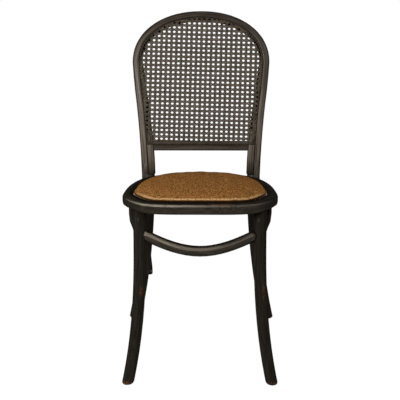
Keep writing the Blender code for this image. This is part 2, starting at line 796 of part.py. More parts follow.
def brace_top(side):
    """Highest point of a brace, under the middle of the ring's band."""
    spot = loop_at(RING_WIDTH / 2, BRACE_TOP_DEPTH, side)
    return Vector((spot.x, spot.y, RING_UNDER - GAP - BRACE_WIDTH / 2 + BRACE_LAND))


def make_brace(side, look):
    """Bent side brace: one rod from leg to leg, planed flat where it meets the ring."""
    (front, _), (rear, _) = brace_ends(side)
    top = brace_top(side)
    sign = SIDES[side]
    over = [top + Vector((-inwards * sign, back, up)) for inwards, back, up in BRACE_CURVE]
    front_knee = front_leg_axis(side, BRACE_KNEE_HEIGHT) + Vector((0, BRACE_KNEE_STAND, 0))
    rear_knee = rear.lerp(over[-1], 0.5) + Vector((0, BRACE_KNEE_BELLY, 0))
    points = [front - Vector((0, 0, BRACE_TAIL)), front + Vector((0, 0, BRACE_STEM)), front_knee,
              *over, rear_knee, rear + Vector((0, 0, BRACE_TAIL)), rear - Vector((0, 0, BRACE_TAIL))]
    route = smooth_route(points, 2)
    tips = [end + (end - before).normalized() * BRACE_TIP
            for end, before in ((route[0], route[1]), (route[-1], route[-2]))]
    narrow = BRACE_WIDTH / 2 - BRACE_TIP
    radii = [narrow] + [BRACE_WIDTH / 2] * len(route) + [narrow]
    route = [tips[0]] + route + [tips[1]]
    bm = loft(tube_rings(route, radii, BRACE_SIDES))
    saw_top(bm, RING_UNDER - GAP)
    return mesh_object("side_brace_" + side, bm, look)


# Hardware
def turned(name, profile, start, axis, look, sides=SMALL_SIDES):
    """Turned piece: radii at distances along an axis from a start point."""
    return mesh_object(name, loft(turned_rings(start, axis, profile, sides)), look)


def make_screw(name, seat, axis, length, look):
    """Round-headed wood screw whose head bears on a seat point."""
    head = SCREW_HEAD_WIDTH / 2
    shank = SCREW_WIDTH / 2
    profile = [(-SCREW_HEAD_HEIGHT, head * 0.5), (-SCREW_HEAD_HEIGHT * 0.6, head * 0.9),
               (-GAP, head), (-GAP, shank), (length - 2 * shank, shank), (length, shank * 0.25)]
    return turned(name, profile, seat, axis, look)


def screw_hole(seat, axis, length, start):
    """Plain hole for a screw's shank, from a distance before or past its head's seat."""
    radius = SCREW_WIDTH / 2 + BORE_CLEARANCE
    return seat, axis, [(start, radius), (length + GAP, radius)], SMALL_SIDES


def pocket_hole(seat, axis, length):
    """Hole for a screw's shank with a flat pocket for its head."""
    head = SCREW_HEAD_WIDTH / 2 + BORE_CLEARANCE
    radius = SCREW_WIDTH / 2 + BORE_CLEARANCE
    profile = [(-CUTTER_REACH, head), (0.0, head), (0.0, radius), (length + GAP, radius)]
    return seat, axis, profile, SMALL_SIDES


def holed_disc(name, radii, thickness, start, axis, hole, look):
    """Nut or washer: a disc with a round hole, its outer radii repeated round the axis."""
    across = axis.orthogonal().normalized()
    other = axis.cross(across)
    rings = []
    for k in range(HEX_STEPS):
        turn = 2 * math.pi * k / HEX_STEPS
        spoke = across * math.cos(turn) + other * math.sin(turn)
        outer = radii[k % len(radii)]
        far = start + axis * thickness
        rings.append([start + spoke * hole, start + spoke * outer, far + spoke * outer,
                      far + spoke * hole])
    return mesh_object(name, loft(rings, closed=True), look)


def bolt_line(side):
    """Line of a seat bolt, square to the ring through the rear leg, and the ring's inner face."""
    z = SEAT_TOP - BOLT_DROP
    spot = Vector((rear_leg_middle(z) * SIDES[side], back_depth(z)))
    loop = seat_loop(0.0)
    near = min(range(len(loop)), key=lambda i: (loop[i] - spot).length)
    along = (loop[(near + 1) % len(loop)] - loop[near - 1]).normalized()
    inward = Vector((-along.y, along.x))
    reach = ray_to_loop(spot, inward, seat_loop(RING_WIDTH))
    return Vector((*spot, z)), Vector((*inward, 0.0)), reach


def add_seat_bolts(steel):
    """A domed bolt, washer and nut hold each rear leg to the ring."""
    hoop_holes, ring_holes = [], []
    hole = BOLT_WIDTH / 2 + BORE_CLEARANCE
    for side in SIDES:
        middle, axis, reach = bolt_line(side)
        head_seat = middle - axis * (ROD_DEPTH / 2 - BOLT_SPOT)
        washer_seat = middle + axis * (reach - BOLT_SPOT)
        nut_end = reach - BOLT_SPOT + GAP + WASHER_THICKNESS + GAP + NUT_THICKNESS
        length = nut_end + (ROD_DEPTH / 2 - BOLT_SPOT) + BOLT_OVERRUN
        head = BOLT_HEAD_WIDTH / 2
        profile = [(-BOLT_HEAD_HEIGHT - GAP, head * 0.4), (-BOLT_HEAD_HEIGHT * 0.7, head * 0.85),
                   (-GAP, head), (-GAP, BOLT_WIDTH / 2), (length - CHAMFER, BOLT_WIDTH / 2),
                   (length, BOLT_WIDTH / 2 - CHAMFER)]
        turned("seat_bolt_" + side, profile, head_seat, axis, steel)
        washer_start = washer_seat + axis * GAP
        holed_disc("seat_washer_" + side, [WASHER_WIDTH / 2], WASHER_THICKNESS,
                   washer_start, axis, hole, steel)
        holed_disc("seat_nut_" + side, [NUT_WIDTH / math.sqrt(3), NUT_WIDTH / 2], NUT_THICKNESS,
                   washer_start + axis * (WASHER_THICKNESS + GAP), axis, hole, steel)
        pocket = head + 2 * BORE_CLEARANCE
        spot = WASHER_WIDTH / 2 + 2 * BORE_CLEARANCE
        hoop_holes.append((head_seat, axis, [(-CUTTER_REACH, pocket), (0.0, pocket), (0.0, hole),
                                             (ROD_DEPTH + CUTTER_REACH, hole)], SMALL_SIDES))
        ring_holes.append((washer_seat, axis, [(CUTTER_REACH, spot), (0.0, spot), (0.0, hole),
                                               (-RING_WIDTH, hole)], SMALL_SIDES))
    return hoop_holes, ring_holes


def add_brace_screws(steel):
    """Three screws a side hold a brace to the front leg, the ring and the rear leg."""
    holes = {"ring": [], "hoop": []}
    length = BRACE_SCREW_LENGTH
    for side in SIDES:
        front, rear = brace_ends(side)
        top = brace_top(side)
        own = []
        lines = {"front": front, "rear": rear, "top": (top, top + Vector((0, 0, 1)))}
        for end, (spot, toward) in lines.items():
            axis = (toward - spot).normalized()
            seat = spot - axis * (BRACE_WIDTH / 2 - BRACE_POCKET)
            make_screw(f"brace_screw_{end}_{side}", seat, axis, length, steel)
            own.append(pocket_hole(seat, axis, length))
            target = {"front": "front_leg_" + side, "rear": "hoop", "top": "ring"}[end]
            into = screw_hole(seat, axis, length, BRACE_WIDTH / 2)
            holes.setdefault(target, []).append(into)
        holes["side_brace_" + side] = own
    return holes


def add_seat_screws(steel):
    """Screws from under the ledge hold the seat board."""
    ring_holes, board_holes = [], []
    up = Vector((0, 0, 1))
    for end, depth in SEAT_SCREW_DEPTHS.items():
        for side in SIDES:
            seat = Vector((*loop_at(RING_WIDTH - LEDGE_WIDTH / 2, depth, side), RING_UNDER))
            make_screw(f"seat_screw_{end}_{side}", seat, up, SEAT_SCREW_LENGTH, steel)
            ring_holes.append(screw_hole(seat, up, SEAT_SCREW_LENGTH, -CUTTER_REACH))
            board_holes.append(screw_hole(seat, up, SEAT_SCREW_LENGTH, RING_THICKNESS / 2))
    return ring_holes, board_holes


def add_dowel(name, middle, axis, look):
    """Short dowel across a joint, and the hole for it."""
    half = DOWEL_LENGTH / 2
    full, narrow = DOWEL_WIDTH / 2, DOWEL_WIDTH / 2 - CHAMFER
    profile = [(-half, narrow), (-half + CHAMFER, full), (half - CHAMFER, full), (half, narrow)]
    turned(name, profile, middle, axis, look)
    reach = half + GAP
    radius = DOWEL_WIDTH / 2 + BORE_CLEARANCE
    return middle, axis, [(-reach, radius), (reach, radius)], SMALL_SIDES


def settle(pieces):
    """Bring the middle of the chair's footprint to the origin."""
    bpy.context.view_layer.update()
    graph = bpy.context.evaluated_depsgraph_get()
    spots = []
    for piece in pieces:
        shape = piece.evaluated_get(graph)
        spots += [shape.matrix_world @ Vector(corner) for corner in shape.bound_box]
    low = min(p.y for p in spots)
    high = max(p.y for p in spots)
    root = bpy.data.objects.new("chair_frame", None)
    bpy.context.scene.collection.objects.link(root)
    for item in bpy.context.scene.objects:
        if item is not root:
            item.parent = root
    root.location = (0.0, -(low + high) / 2, 0.0)
    print("seat front edge at y =", round(root.location.y, 5))


def main():
    clear_scene()
    wood = material("stained_beech", (0.030, 0.024, 0.020), 0.42)
    cane = material("stained_cane", (0.085, 0.070, 0.056), 0.60)
    rattan = material("woven_rattan", (0.430, 0.215, 0.075), 0.62)
    ply = material("birch_board", (0.52, 0.38, 0.23), 0.65)
    steel = material("steel", (0.46, 0.46, 0.47), 0.35, 1.0)

    hoop = make_hoop(wood)
    frame = make_cane_frame(wood)
    rail = make_rail(wood)
    make_reed(cane)
    make_net(cane)
    groove = groove_cutter()
    cut(frame, groove)
    cut(rail, groove)

    ring = make_ring(wood)
    board = make_board(ply)
    make_pad(rattan)
    bow = make_bow(wood)
    legs = {side: make_front_leg(side, wood) for side in SIDES}
    braces = {side: make_brace(side, wood) for side in SIDES}

    holes = add_brace_screws(steel)
    hoop_holes, ring_holes = add_seat_bolts(steel)
    ledge_holes, board_holes = add_seat_screws(steel)
    bow_holes, rail_holes = [], []
    for side, sign in SIDES.items():
        rear_cutter = rear_leg_cutter(side)
        front_cutter = front_leg_cutter(side)
        cut(ring, rear_cutter)
        cut(braces[side], rear_cutter)
        cut(braces[side], front_cutter)
        cut(bow, front_cutter)
        face = FRONT_LEG_SPACING / 2 - FRONT_LEG_WIDTH / 2
        middle = Vector((sign * face, FRONT_LEG_SETBACK, bow_height(face)))
        before = Vector((sign * (face - STEP), FRONT_LEG_SETBACK, bow_height(face - STEP)))
        dowel = add_dowel("bow_dowel_" + side, middle, (middle - before).normalized(), ply)
        bow_holes.append(dowel)
        height = RAIL_BOTTOM + RAIL_DOWEL_LEVEL
        joint = on_back(sign * frame_inner_edge(height), height, FRAME_DEPTH / 2 - RAIL_DEPTH / 2)
        pin = add_dowel("rail_dowel_" + side, joint, Vector((sign, 0, 0)), ply)
        rail_holes.append(pin)
        top = front_leg_axis(side, RING_UNDER)
        mortise = TENON_WIDTH / 2 + BORE_CLEARANCE
        ring_holes.append((top, Vector((0, 0, 1)), [(-CUTTER_REACH, mortise),
                                                    (TENON_LENGTH, mortise)], ROUND_SIDES))
        bore(legs[side], holes["front_leg_" + side] + [dowel])
        bore(braces[side], holes["side_brace_" + side])
    bore(hoop, hoop_holes + holes["hoop"])
    bore(ring, ring_holes + ledge_holes + holes["ring"])
    bore(board, board_holes)
    bore(bow, bow_holes)
    bore(rail, rail_holes)
    bore(frame, rail_holes)

    settle([item for item in bpy.context.scene.objects if not item.hide_render])


main()
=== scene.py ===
"""Rattan dining chair: finished wood, cane and seat built over the packed CAD frame."""
import math

import bmesh
import bpy
import numpy as np
from bpy.props import FloatProperty, FloatVectorProperty, IntProperty, PointerProperty
from mathutils import Matrix, Vector


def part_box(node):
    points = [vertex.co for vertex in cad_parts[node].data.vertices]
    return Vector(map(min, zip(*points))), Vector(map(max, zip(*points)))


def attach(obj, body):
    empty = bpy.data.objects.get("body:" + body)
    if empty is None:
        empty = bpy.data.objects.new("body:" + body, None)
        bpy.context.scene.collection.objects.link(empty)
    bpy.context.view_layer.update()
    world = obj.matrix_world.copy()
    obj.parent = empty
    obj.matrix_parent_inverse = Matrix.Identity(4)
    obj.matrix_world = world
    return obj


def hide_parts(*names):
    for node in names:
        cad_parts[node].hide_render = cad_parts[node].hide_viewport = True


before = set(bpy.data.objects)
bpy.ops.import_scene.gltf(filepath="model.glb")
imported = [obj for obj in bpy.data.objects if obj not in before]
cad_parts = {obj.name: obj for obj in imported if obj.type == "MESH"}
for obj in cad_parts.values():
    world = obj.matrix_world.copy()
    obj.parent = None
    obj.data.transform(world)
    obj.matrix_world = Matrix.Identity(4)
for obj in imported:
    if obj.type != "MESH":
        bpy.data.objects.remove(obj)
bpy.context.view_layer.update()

bl_info = {
    "name": "Rattan Dining Chair",
    "version": (1, 0, 0),
    "blender": (4, 5, 0),
    "location": "3D View > Sidebar > Chair",
    "description": "Finishes a bentwood dining chair with a caned back and a woven seat",
    "category": "Object",
}

PANEL_LOW, PANEL_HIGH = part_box("cane_panel")
PAD_LOW, PAD_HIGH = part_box("seat_pad")
RING_LOW, RING_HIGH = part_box("seat_ring")
SHOULDER = PANEL_LOW.z + 0.65 * (PANEL_HIGH.z - PANEL_LOW.z)

# The pad's lowest part is held while the rest swells.
PAD_HELD = 0.003

# Cane faces that meet at less than this shade as one surface.
CANE_SMOOTH = math.radians(50)

# The reed's half width, for the crown of its material.
REED_HALF_WIDTH = 0.0018

BENT_WOOD = {
    "back_hoop": "arch",
    "cane_frame": "arch",
    "back_rail": "across",
    "front_bow": "across",
    "seat_ring": "round",
    "front_leg_left": "upright",
    "front_leg_right": "upright",
    "side_brace_left": "side_arch",
    "side_brace_right": "side_arch",
}

# How much gloss and painted sheen the front faces of each piece get, as if polished by hands and clothes.
# The hoop gets them above the seat only.
POLISH_AND_SHEEN = {"back_hoop": 0.85, "cane_frame": 0.85, "back_rail": 0.35, "seat_ring": 0.10, "front_bow": 0.16}

# How much of the gloss and painted sheen the back gets by height, where the hands reach.
GLOSS_AND_SHEEN_HEIGHTS = (RING_HIGH.z - 0.01, RING_HIGH.z, RING_HIGH.z + 0.06, SHOULDER + 0.02, PANEL_HIGH.z - 0.02)
GLOSS_AND_SHEEN_SHARES = (0.0, 0.5, 1.0, 0.85, 0.35)

# How much a painted highlight lightens the rounded upper edge of each piece.
EDGE_HIGHLIGHT = {"seat_ring": 1.0, "front_bow": 0.85}


# Settings

def length(name, description, low, high, default):
    """A distance in metres."""
    return FloatProperty(name=name, description=description, unit="LENGTH", subtype="DISTANCE",
                         min=low, max=high, default=default)


def turning(name, description, low, high, default):
    """An angle, given here in degrees."""
    low, high, default = (math.radians(degrees) for degrees in (low, high, default))
    return FloatProperty(name=name, description=description, unit="ROTATION", subtype="ANGLE",
                         min=low, max=high, default=default)


def factor(name, description, low, high, default):
    """A plain factor."""
    return FloatProperty(name=name, description=description, subtype="FACTOR", min=low, max=high,
                         default=default)


def watts(name, description, default):
    """A lamp's power."""
    return FloatProperty(name=name, description=description, unit="POWER", subtype="POWER", min=0,
                         default=default)


def tint(name, description, default):
    """A colour."""
    return FloatVectorProperty(name=name, description=description, subtype="COLOR", size=3, min=0, max=1,
                               default=default)


class ChairWoodSettings(bpy.types.PropertyGroup):
    """Stain, grain and wear of the bent wood."""
    stain: tint("Stain", "Colour of the dark stain", (0.0155, 0.0125, 0.0088))
    grain_dark: tint("Grain", "Colour in the open grain", (0.005, 0.004, 0.0025))
    rubbed: tint("Rubbed Wood", "Colour where the stain has rubbed through", (0.23, 0.085, 0.030))
    # Painted sheen colour of the back's front faces, partly stain thinned by hands.
    handled_sheen: tint("Handled Wood", "Colour of the back's front faces, where hands have thinned the stain",
                  (0.255, 0.203, 0.150))
    # Painted highlight colour along rounded upper edges.
    edge_highlight: tint("Worn Edge", "Colour of rounded edges that the stain has worn off",
                    (0.370, 0.310, 0.240))
    grain_width: length("Grain Width", "Width of one streak of grain", 0.0003, 0.01, 0.0021)
    grain_stretch: factor("Grain Stretch", "How many times longer than wide a streak is", 1, 80, 26)
    smooth_angle: turning("Smooth Angle", "Faces that meet at less than this shade as one surface",
                          0, 180, 38)


class ChairCaneSettings(bpy.types.PropertyGroup):
    """Pitches and strand sizes of the six-way cane."""
    pitch_across: length("Pitch Across", "From one pair of upright strands to the next",
                         0.006, 0.04, 0.01385)
    pitch_up: length("Pitch Up", "From one pair of level strands to the next", 0.006, 0.04, 0.01214)
    phase_across: length("Phase Across", "How far the middle pair stands from the middle of the back",
                         -0.02, 0.02, -0.0016)
    phase_up: length("Phase Up", "From the panel's lowest edge down to the first row of crossings",
                     0, 0.02, 0.0085)
    lean: turning("Lean", "How far the whole weave is turned in its frame, as it was stretched",
                  -11, 11, 1.48)
    strand_width: length("Strand Width", "Width of an upright or level strand", 0.0005, 0.006, 0.0031)
    diagonal_width: length("Diagonal Width", "Width of a slanting strand", 0.0005, 0.006, 0.0028)
    pair_reach: length("Pair Reach", "From the middle of a pair to the middle of one strand",
                       0.0005, 0.006, 0.0018)
    thickness: length("Strand Thickness", "Thickness of every strand", 0.0001, 0.002, 0.00048)
    pair_wave: length("Pair Wave", "How far a paired strand rises over a crossing", 0, 0.002, 0.00028)
    diagonal_wave: length("Diagonal Wave", "How far a slanting strand rises over a pair",
                          0, 0.002, 0.00055)
    colour: tint("Cane", "Colour of the stained cane", (0.056, 0.042, 0.027))
    tuck: length("Tuck", "How far strands run in under the reed", 0, 0.003, 0.0010)
    braid: length("Braid", "From one turn of the braided reed to the next", 0.002, 0.02, 0.0075)


class ChairSeatSettings(bpy.types.PropertyGroup):
    """Shape and weave of the seat pad."""
    voxel: length("Remesh Size", "Size of the pad's faces before it swells", 0.003, 0.01, 0.0046)
    pressure: factor("Filling Pressure", "Pressure of the stuffing under the weave", 0, 20, 4)
    swell: length("Swell", "Most that the filling may lift a point of the pad", 0, 0.01, 0.0030)
    steps: IntProperty(name="Swell Steps", description="Frames that the filling takes to settle",
                       min=2, max=40, default=20)
    pitch: length("Weave Pitch", "Width of one strand of the seat's weave", 0.001, 0.01, 0.0031)
    colour: tint("Rattan", "Colour of the woven rattan", (0.455, 0.198, 0.052))
    # Painted highlight colour along the pad's rim.
    rim: tint("Rim", "Colour of the rattan where it is rubbed over the rim", (0.90, 0.56, 0.270))
    # Colour of random dark patches, and of the painted shade between strands.
    deep_tone_and_shade: tint("Between Strands", "Colour down between the strands", (0.075, 0.030, 0.010))
    shadow: tint("Below Rim", "Colour of the pad's side below its rim", (0.026, 0.012, 0.005))


class ChairStudioSettings(bpy.types.PropertyGroup):
    """Camera, floor and lamps."""
    camera_place: FloatVectorProperty(
        name="Camera Place", description="Where the camera stands", subtype="TRANSLATION",
        unit="LENGTH", size=3, default=(-0.0015, -2.2968, 0.9645))
    camera_tilt: turning("Camera Tilt", "How far the camera looks down", -90, 90, 13.175)
    camera_turn: turning("Camera Turn", "How far the camera stands round to the chair's right side",
                         -180, 180, 0.5)
    lens: FloatProperty(name="Lens", description="Focal length on a 36 mm sensor, in millimetres",
                        min=20, max=300, default=78.3)
    key_power: watts("Front Lamp", "Power of the wide lamp in front", 30)
    side_power: watts("Side Lamp", "Power of the lamp at the left", 7)
    sky: factor("Sky Light", "Strength of the even light from all round", 0, 2, 0.40)
    floor_shade: factor("Floor Shadow", "How much of the object's shadow the white floor shows",
                        0, 1, 0.22)


SETTINGS = {
    "chair_wood": ChairWoodSettings,
    "chair_cane": ChairCaneSettings,
    "chair_seat": ChairSeatSettings,
    "chair_studio": ChairStudioSettings,
}


# Node helpers

def feed(tree, sockets, values):
    """Links sockets to the values that are outputs, and sets the others."""
    for name, value in values.items():
        if isinstance(value, bpy.types.NodeSocket):
            tree.links.new(value, sockets[name])
        else:
            sockets[name].default_value = value


def node(tree, kind, sockets=None, **settings):
    """Adds a node to tree, sets its properties and fills or links its sockets."""
    made = tree.nodes.new(kind)
    for key, value in settings.items():
        setattr(made, key, value)
    feed(tree, made.inputs, sockets or {})
    return made


def maths(tree, operation, first, second=0.0, third=0.0, clamp=False):
    """A math node's value."""
    return node(tree, "ShaderNodeMath", {0: first, 1: second, 2: third},
                operation=operation, use_clamp=clamp).outputs[0]


def product(tree, *values):
    """Several values multiplied."""
    total = values[0]
    for value in values[1:]:
        total = maths(tree, "MULTIPLY", total, value)
    return total


def vector_maths(tree, operation, first, second):
    """A vector math node's vector."""
    return node(tree, "ShaderNodeVectorMath", {0: first, 1: second}, operation=operation).outputs[0]


def split(tree, vector):
    """A vector's three parts."""
    return node(tree, "ShaderNodeSeparateXYZ", {0: vector}).outputs


def combine(tree, *parts):
    """A vector of up to three parts."""
    return node(tree, "ShaderNodeCombineXYZ", dict(enumerate(parts))).outputs[0]


def noise(tree, place, scale, detail, roughness=0.5):
    """Noise at a place, from 0 to 1."""
    return node(tree, "ShaderNodeTexNoise", {
        "Vector": place, "Scale": scale, "Detail": detail, "Roughness": roughness}).outputs[0]


def normal_parts(tree):
    """The three parts of the surface's normal."""
    return split(tree, node(tree, "ShaderNodeNewGeometry").outputs["Normal"])


def remap(tree, value, low, high, out_low=0.0, out_high=1.0):
    """Value moved smoothly from one range to another."""
    return node(tree, "ShaderNodeMapRange",
                {"Value": value, "From Min": low, "From Max": high, "To Min": out_low, "To Max": out_high},
                interpolation_type="SMOOTHSTEP").outputs["Result"]


def blend_colours(tree, share, first, second):
    """First colour turned towards the second by share. Plain colours are triples."""
    first, second = (c if isinstance(c, bpy.types.NodeSocket) else (*c[:3], 1.0) for c in (first, second))
    mix = node(tree, "ShaderNodeMix", data_type="RGBA")
    feed(tree, mix.inputs, {0: share, 6: first, 7: second})
    return mix.outputs[2]


def open_group(name, inputs, outputs):
    """A new shader node group: its tree, the sockets that it is given, and those of its results."""
    tree = bpy.data.node_groups.new(name, "ShaderNodeTree")
    for label, kind, value in inputs:
        socket = tree.interface.new_socket(label, in_out="INPUT", socket_type=kind)
        if value is not None:
            socket.default_value = value
    for label, kind in outputs:
        tree.interface.new_socket(label, in_out="OUTPUT", socket_type=kind)
    given = tree.nodes.new("NodeGroupInput").outputs
    return tree, given, tree.nodes.new("NodeGroupOutput").inputs


def place_group(tree, maker, sockets):
    """Places the shader group that maker builds, which is built only once."""
    name = maker.__doc__.split(":")[0]
    shared = bpy.data.node_groups.get(name) or maker(name)
    return node(tree, "ShaderNodeGroup", sockets, node_tree=shared).outputs


FLOAT, VECTOR = "NodeSocketFloat", "NodeSocketVector"


def timber_grain(name):
    """Timber Grain: streaks, open pores and slow change of tone along a bent piece of wood."""
    tree, given, result = open_group(
        name,
        [("Along Grain", VECTOR, None), ("Streak Width", FLOAT, 0.002), ("Stretch", FLOAT, 25.0)],
        [("Streaks", FLOAT), ("Pores", FLOAT), ("Tone", FLOAT)])
    fine = maths(tree, "DIVIDE", 1.0, given["Streak Width"])
    slow = maths(tree, "DIVIDE", fine, given["Stretch"])
    place = vector_maths(tree, "MULTIPLY", given["Along Grain"], combine(tree, fine, fine, slow))
    feed(tree, result, {
        "Streaks": remap(tree, noise(tree, place, 0.42, 4.0, 0.62), 0.30, 0.70),
        "Pores": remap(tree, noise(tree, place, 1.55, 2.0), 0.56, 0.68),
        "Tone": remap(tree, noise(tree, place, 0.07, 2.0), 0.32, 0.68)})
    return tree


def worn_spot(name):
    """Worn Spot: a broken patch around one place, where a finish has been rubbed."""
    tree, given, result = open_group(
        name,
        [("Position", VECTOR, None), ("Centre", VECTOR, (0, 0, 0)), ("Reach", VECTOR, (0.01, 0.01, 0.01)),
         ("Break Up", FLOAT, 0.5)],
        [("Mask", FLOAT)])
    away = vector_maths(tree, "SUBTRACT", given["Position"], given["Centre"])
    away = vector_maths(tree, "DIVIDE", away, given["Reach"])
    distance = node(tree, "ShaderNodeVectorMath", {0: away}, operation="LENGTH").outputs["Value"]
    low = maths(tree, "MULTIPLY_ADD", given["Break Up"], 0.34, 0.30)
    flakes = remap(tree, noise(tree, given["Position"], 420.0, 3.0), low, maths(tree, "ADD", low, 0.14))
    feed(tree, result, {"Mask": product(tree, remap(tree, distance, 1.0, 0.2), flakes)})
    return tree


def settled_dust(name):
    """Settled Dust: a pale film on faces that look up."""
    tree, given, result = open_group(
        name, [("Position", VECTOR, None), ("Amount", FLOAT, 0.2)], [("Mask", FLOAT)])
    up = remap(tree, normal_parts(tree)["Z"], 0.25, 1.0)
    film = remap(tree, noise(tree, given["Position"], 34.0, 3.0), 0.35, 0.75)
    feed(tree, result, {"Mask": product(tree, up, film, given["Amount"])})
    return tree


def front_sheen(name):
    """Front Polish: streaks on faces that look forwards, where hands thin a stain."""
    tree, given, result = open_group(
        name, [("Amount", FLOAT, 0.5), ("Streaks", FLOAT, 0.5)], [("Mask", FLOAT)])
    ahead = remap(tree, normal_parts(tree)["Y"], -0.35, -0.95)
    streaks = maths(tree, "MULTIPLY_ADD", given["Streaks"], 0.75, 0.25)
    feed(tree, result, {"Mask": product(tree, ahead, given["Amount"], streaks)})
    return tree


def edge_highlight_line(name):
    """Edge Wear: a broken light line along a rounded edge, on faces that look up and forwards."""
    tree, given, result = open_group(
        name,
        [("Amount", FLOAT, 0.5), ("Streaks", FLOAT, 0.5), ("Low", FLOAT, 0.15), ("High", FLOAT, 0.85)],
        [("Mask", FLOAT)])
    _, ahead, up = normal_parts(tree)
    ahead = remap(tree, ahead, -0.30, -0.70)
    rise = remap(tree, up, given["Low"], maths(tree, "ADD", given["Low"], 0.25))
    fall = remap(tree, up, given["High"], maths(tree, "SUBTRACT", given["High"], 0.2))
    streaks = maths(tree, "MULTIPLY_ADD", given["Streaks"], 0.55, 0.45)
    feed(tree, result, {"Mask": product(tree, rise, fall, ahead, streaks, given["Amount"])})
    return tree


def strand_fibre(name):
    """Strand Fibre: fine lines, specks, tone of its own and crowned face of one flat strand of cane."""
    tree, given, result = open_group(
        name,
        [("Strand", VECTOR, None), ("Half Width", FLOAT, 0.001), ("Line Width", FLOAT, 0.0003)],
        [("Lines", FLOAT), ("Tone", FLOAT), ("Crown", FLOAT), ("Specks", FLOAT)])
    across, along, number = split(tree, given["Strand"])
    fine = maths(tree, "DIVIDE", across, given["Line Width"])
    lines = noise(tree, combine(tree, fine, product(tree, along, 120.0), number), 0.8, 3.0, 0.6)
    tone = noise(tree, combine(tree, product(tree, number, 3.7), product(tree, along, 26.0)), 1.0, 1.0)
    specks = noise(tree, combine(tree, product(tree, number, 7.9), product(tree, along, 330.0)), 1.0, 1.0)
    part = maths(tree, "DIVIDE", across, given["Half Width"])
    crown = maths(tree, "SUBTRACT", 1.0, product(tree, part, part))
    feed(tree, result, {
        "Lines": remap(tree, lines, 0.3, 0.7), "Tone": remap(tree, tone, 0.25, 0.75), "Specks": specks,
        "Crown": maths(tree, "SQRT", maths(tree, "MAXIMUM", crown, 0.0))})
    return tree


def plain_weave(name):
    """Plain Weave: strands that pass over and under each other, with their height and their tone."""
    tree, given, result = open_group(
        name,
        [("Position", VECTOR, None), ("Pitch", FLOAT, 0.003)],
        [("Height", FLOAT), ("Tone", FLOAT), ("Lines", FLOAT)])
    wander = node(tree, "ShaderNodeTexNoise",
                  {"Vector": given["Position"], "Scale": 60.0, "Detail": 2.0}).outputs["Color"]
    wander = vector_maths(tree, "MULTIPLY", wander, (0.0016, 0.0016, 0.0))
    wandered = split(tree, vector_maths(tree, "ADD", wander, given["Position"]))
    sides = []
    for axis in ("X", "Y"):
        step = maths(tree, "DIVIDE", wandered[axis], given["Pitch"])
        within = maths(tree, "SUBTRACT", maths(tree, "FRACT", step), 0.5)
        fall = maths(tree, "SUBTRACT", 1.0, product(tree, within, within, 4.4))
        round_top = maths(tree, "SQRT", maths(tree, "MAXIMUM", fall, 0.0))
        sides.append((step, maths(tree, "FLOOR", step), round_top))
    (step_x, cell_x, round_x), (step_y, cell_y, round_y) = sides
    # A strand across is on top at every second crossing, and the strand along it at the others.
    turn_x = maths(tree, "ADD", step_x, cell_y)
    turn_y = maths(tree, "ADD", maths(tree, "ADD", step_y, cell_x), 1.0)
    heights = [maths(tree, "MULTIPLY_ADD", maths(tree, "SINE", product(tree, turn, math.pi)), 0.55, top)
               for turn, top in ((turn_x, round_y), (turn_y, round_x))]
    over = maths(tree, "GREATER_THAN", *heights)
    choices = ((cell_x, maths(tree, "ADD", cell_y, 57.0)), (step_y, step_x), (step_x, step_y))
    number, run, side = [node(tree, "ShaderNodeMix", {0: over, 2: along, 3: across}).outputs[0]
                         for along, across in choices]
    tone = noise(tree, combine(tree, product(tree, number, 5.3), product(tree, run, 0.16)), 1.0, 2.0)
    lines = combine(tree, product(tree, side, 9.0), product(tree, run, 0.7), number)
    feed(tree, result, {
        "Height": remap(tree, maths(tree, "MAXIMUM", *heights), 0.1, 1.5),
        "Tone": remap(tree, tone, 0.28, 0.72),
        "Lines": remap(tree, noise(tree, lines, 1.0, 2.0), 0.3, 0.7)})
    return tree


# Materials

def start_material(name):
    """A new node material: the material, its tree and the inputs of its Principled BSDF."""
    made = bpy.data.materials.new(name)
    made.use_nodes = True
    return made, made.node_tree, made.node_tree.nodes["Principled BSDF"].inputs


def attribute(tree, name, output="Vector"):
    """What a piece carries under this name."""
    return node(tree, "ShaderNodeAttribute", attribute_name=name).outputs[output]


def object_place(tree):
    """Object coordinates."""
    return node(tree, "ShaderNodeTexCoord").outputs["Object"]


def bump(tree, height, distance, strength):
    """A bump node's normal."""
    sockets = {"Height": height, "Distance": distance, "Strength": strength}
    return node(tree, "ShaderNodeBump", sockets).outputs[0]


def scaled(colour, *factors):
    """A colour times one factor, or times one for each channel, and at most 1."""
    factors = factors * 3 if len(factors) == 1 else factors
    return [min(1.0, c * f) for c, f in zip(colour, factors)]


WORN_PLACES = (
    # Centre, reach and break-up of each patch where the stain has rubbed through.
    ((0.052, RING_LOW.y + 0.004, 0.4728), (0.036, 0.012, 0.0030), 0.45),
    ((0.020, RING_LOW.y, 0.4560), (0.016, 0.012, 0.0040), 0.75),
    ((-0.148, -0.215, 0.2420), (0.007, 0.030, 0.0200), 0.55),
    ((0.160, -0.212, 0.2420), (0.006, 0.030, 0.0340), 0.60),
    ((-0.190, -0.250, 0.0060), (0.020, 0.030, 0.0080), 0.45),
    ((0.190, -0.245, 0.0060), (0.022, 0.030, 0.0070), 0.60),
    ((-0.205, 0.240, 0.0060), (0.022, 0.030, 0.0070), 0.60),
    ((0.205, 0.240, 0.0060), (0.022, 0.030, 0.0070), 0.60),
)

# Colours that no setting holds.
SLOW_TONE = (0.020, 0.015, 0.010)
DUST = (0.14, 0.12, 0.10)
# Painted shade on the frame wood behind the cane net.
NET_SHADE = (0.0035, 0.0025, 0.0018)
BRAID_GAP = (0.004, 0.003, 0.002)


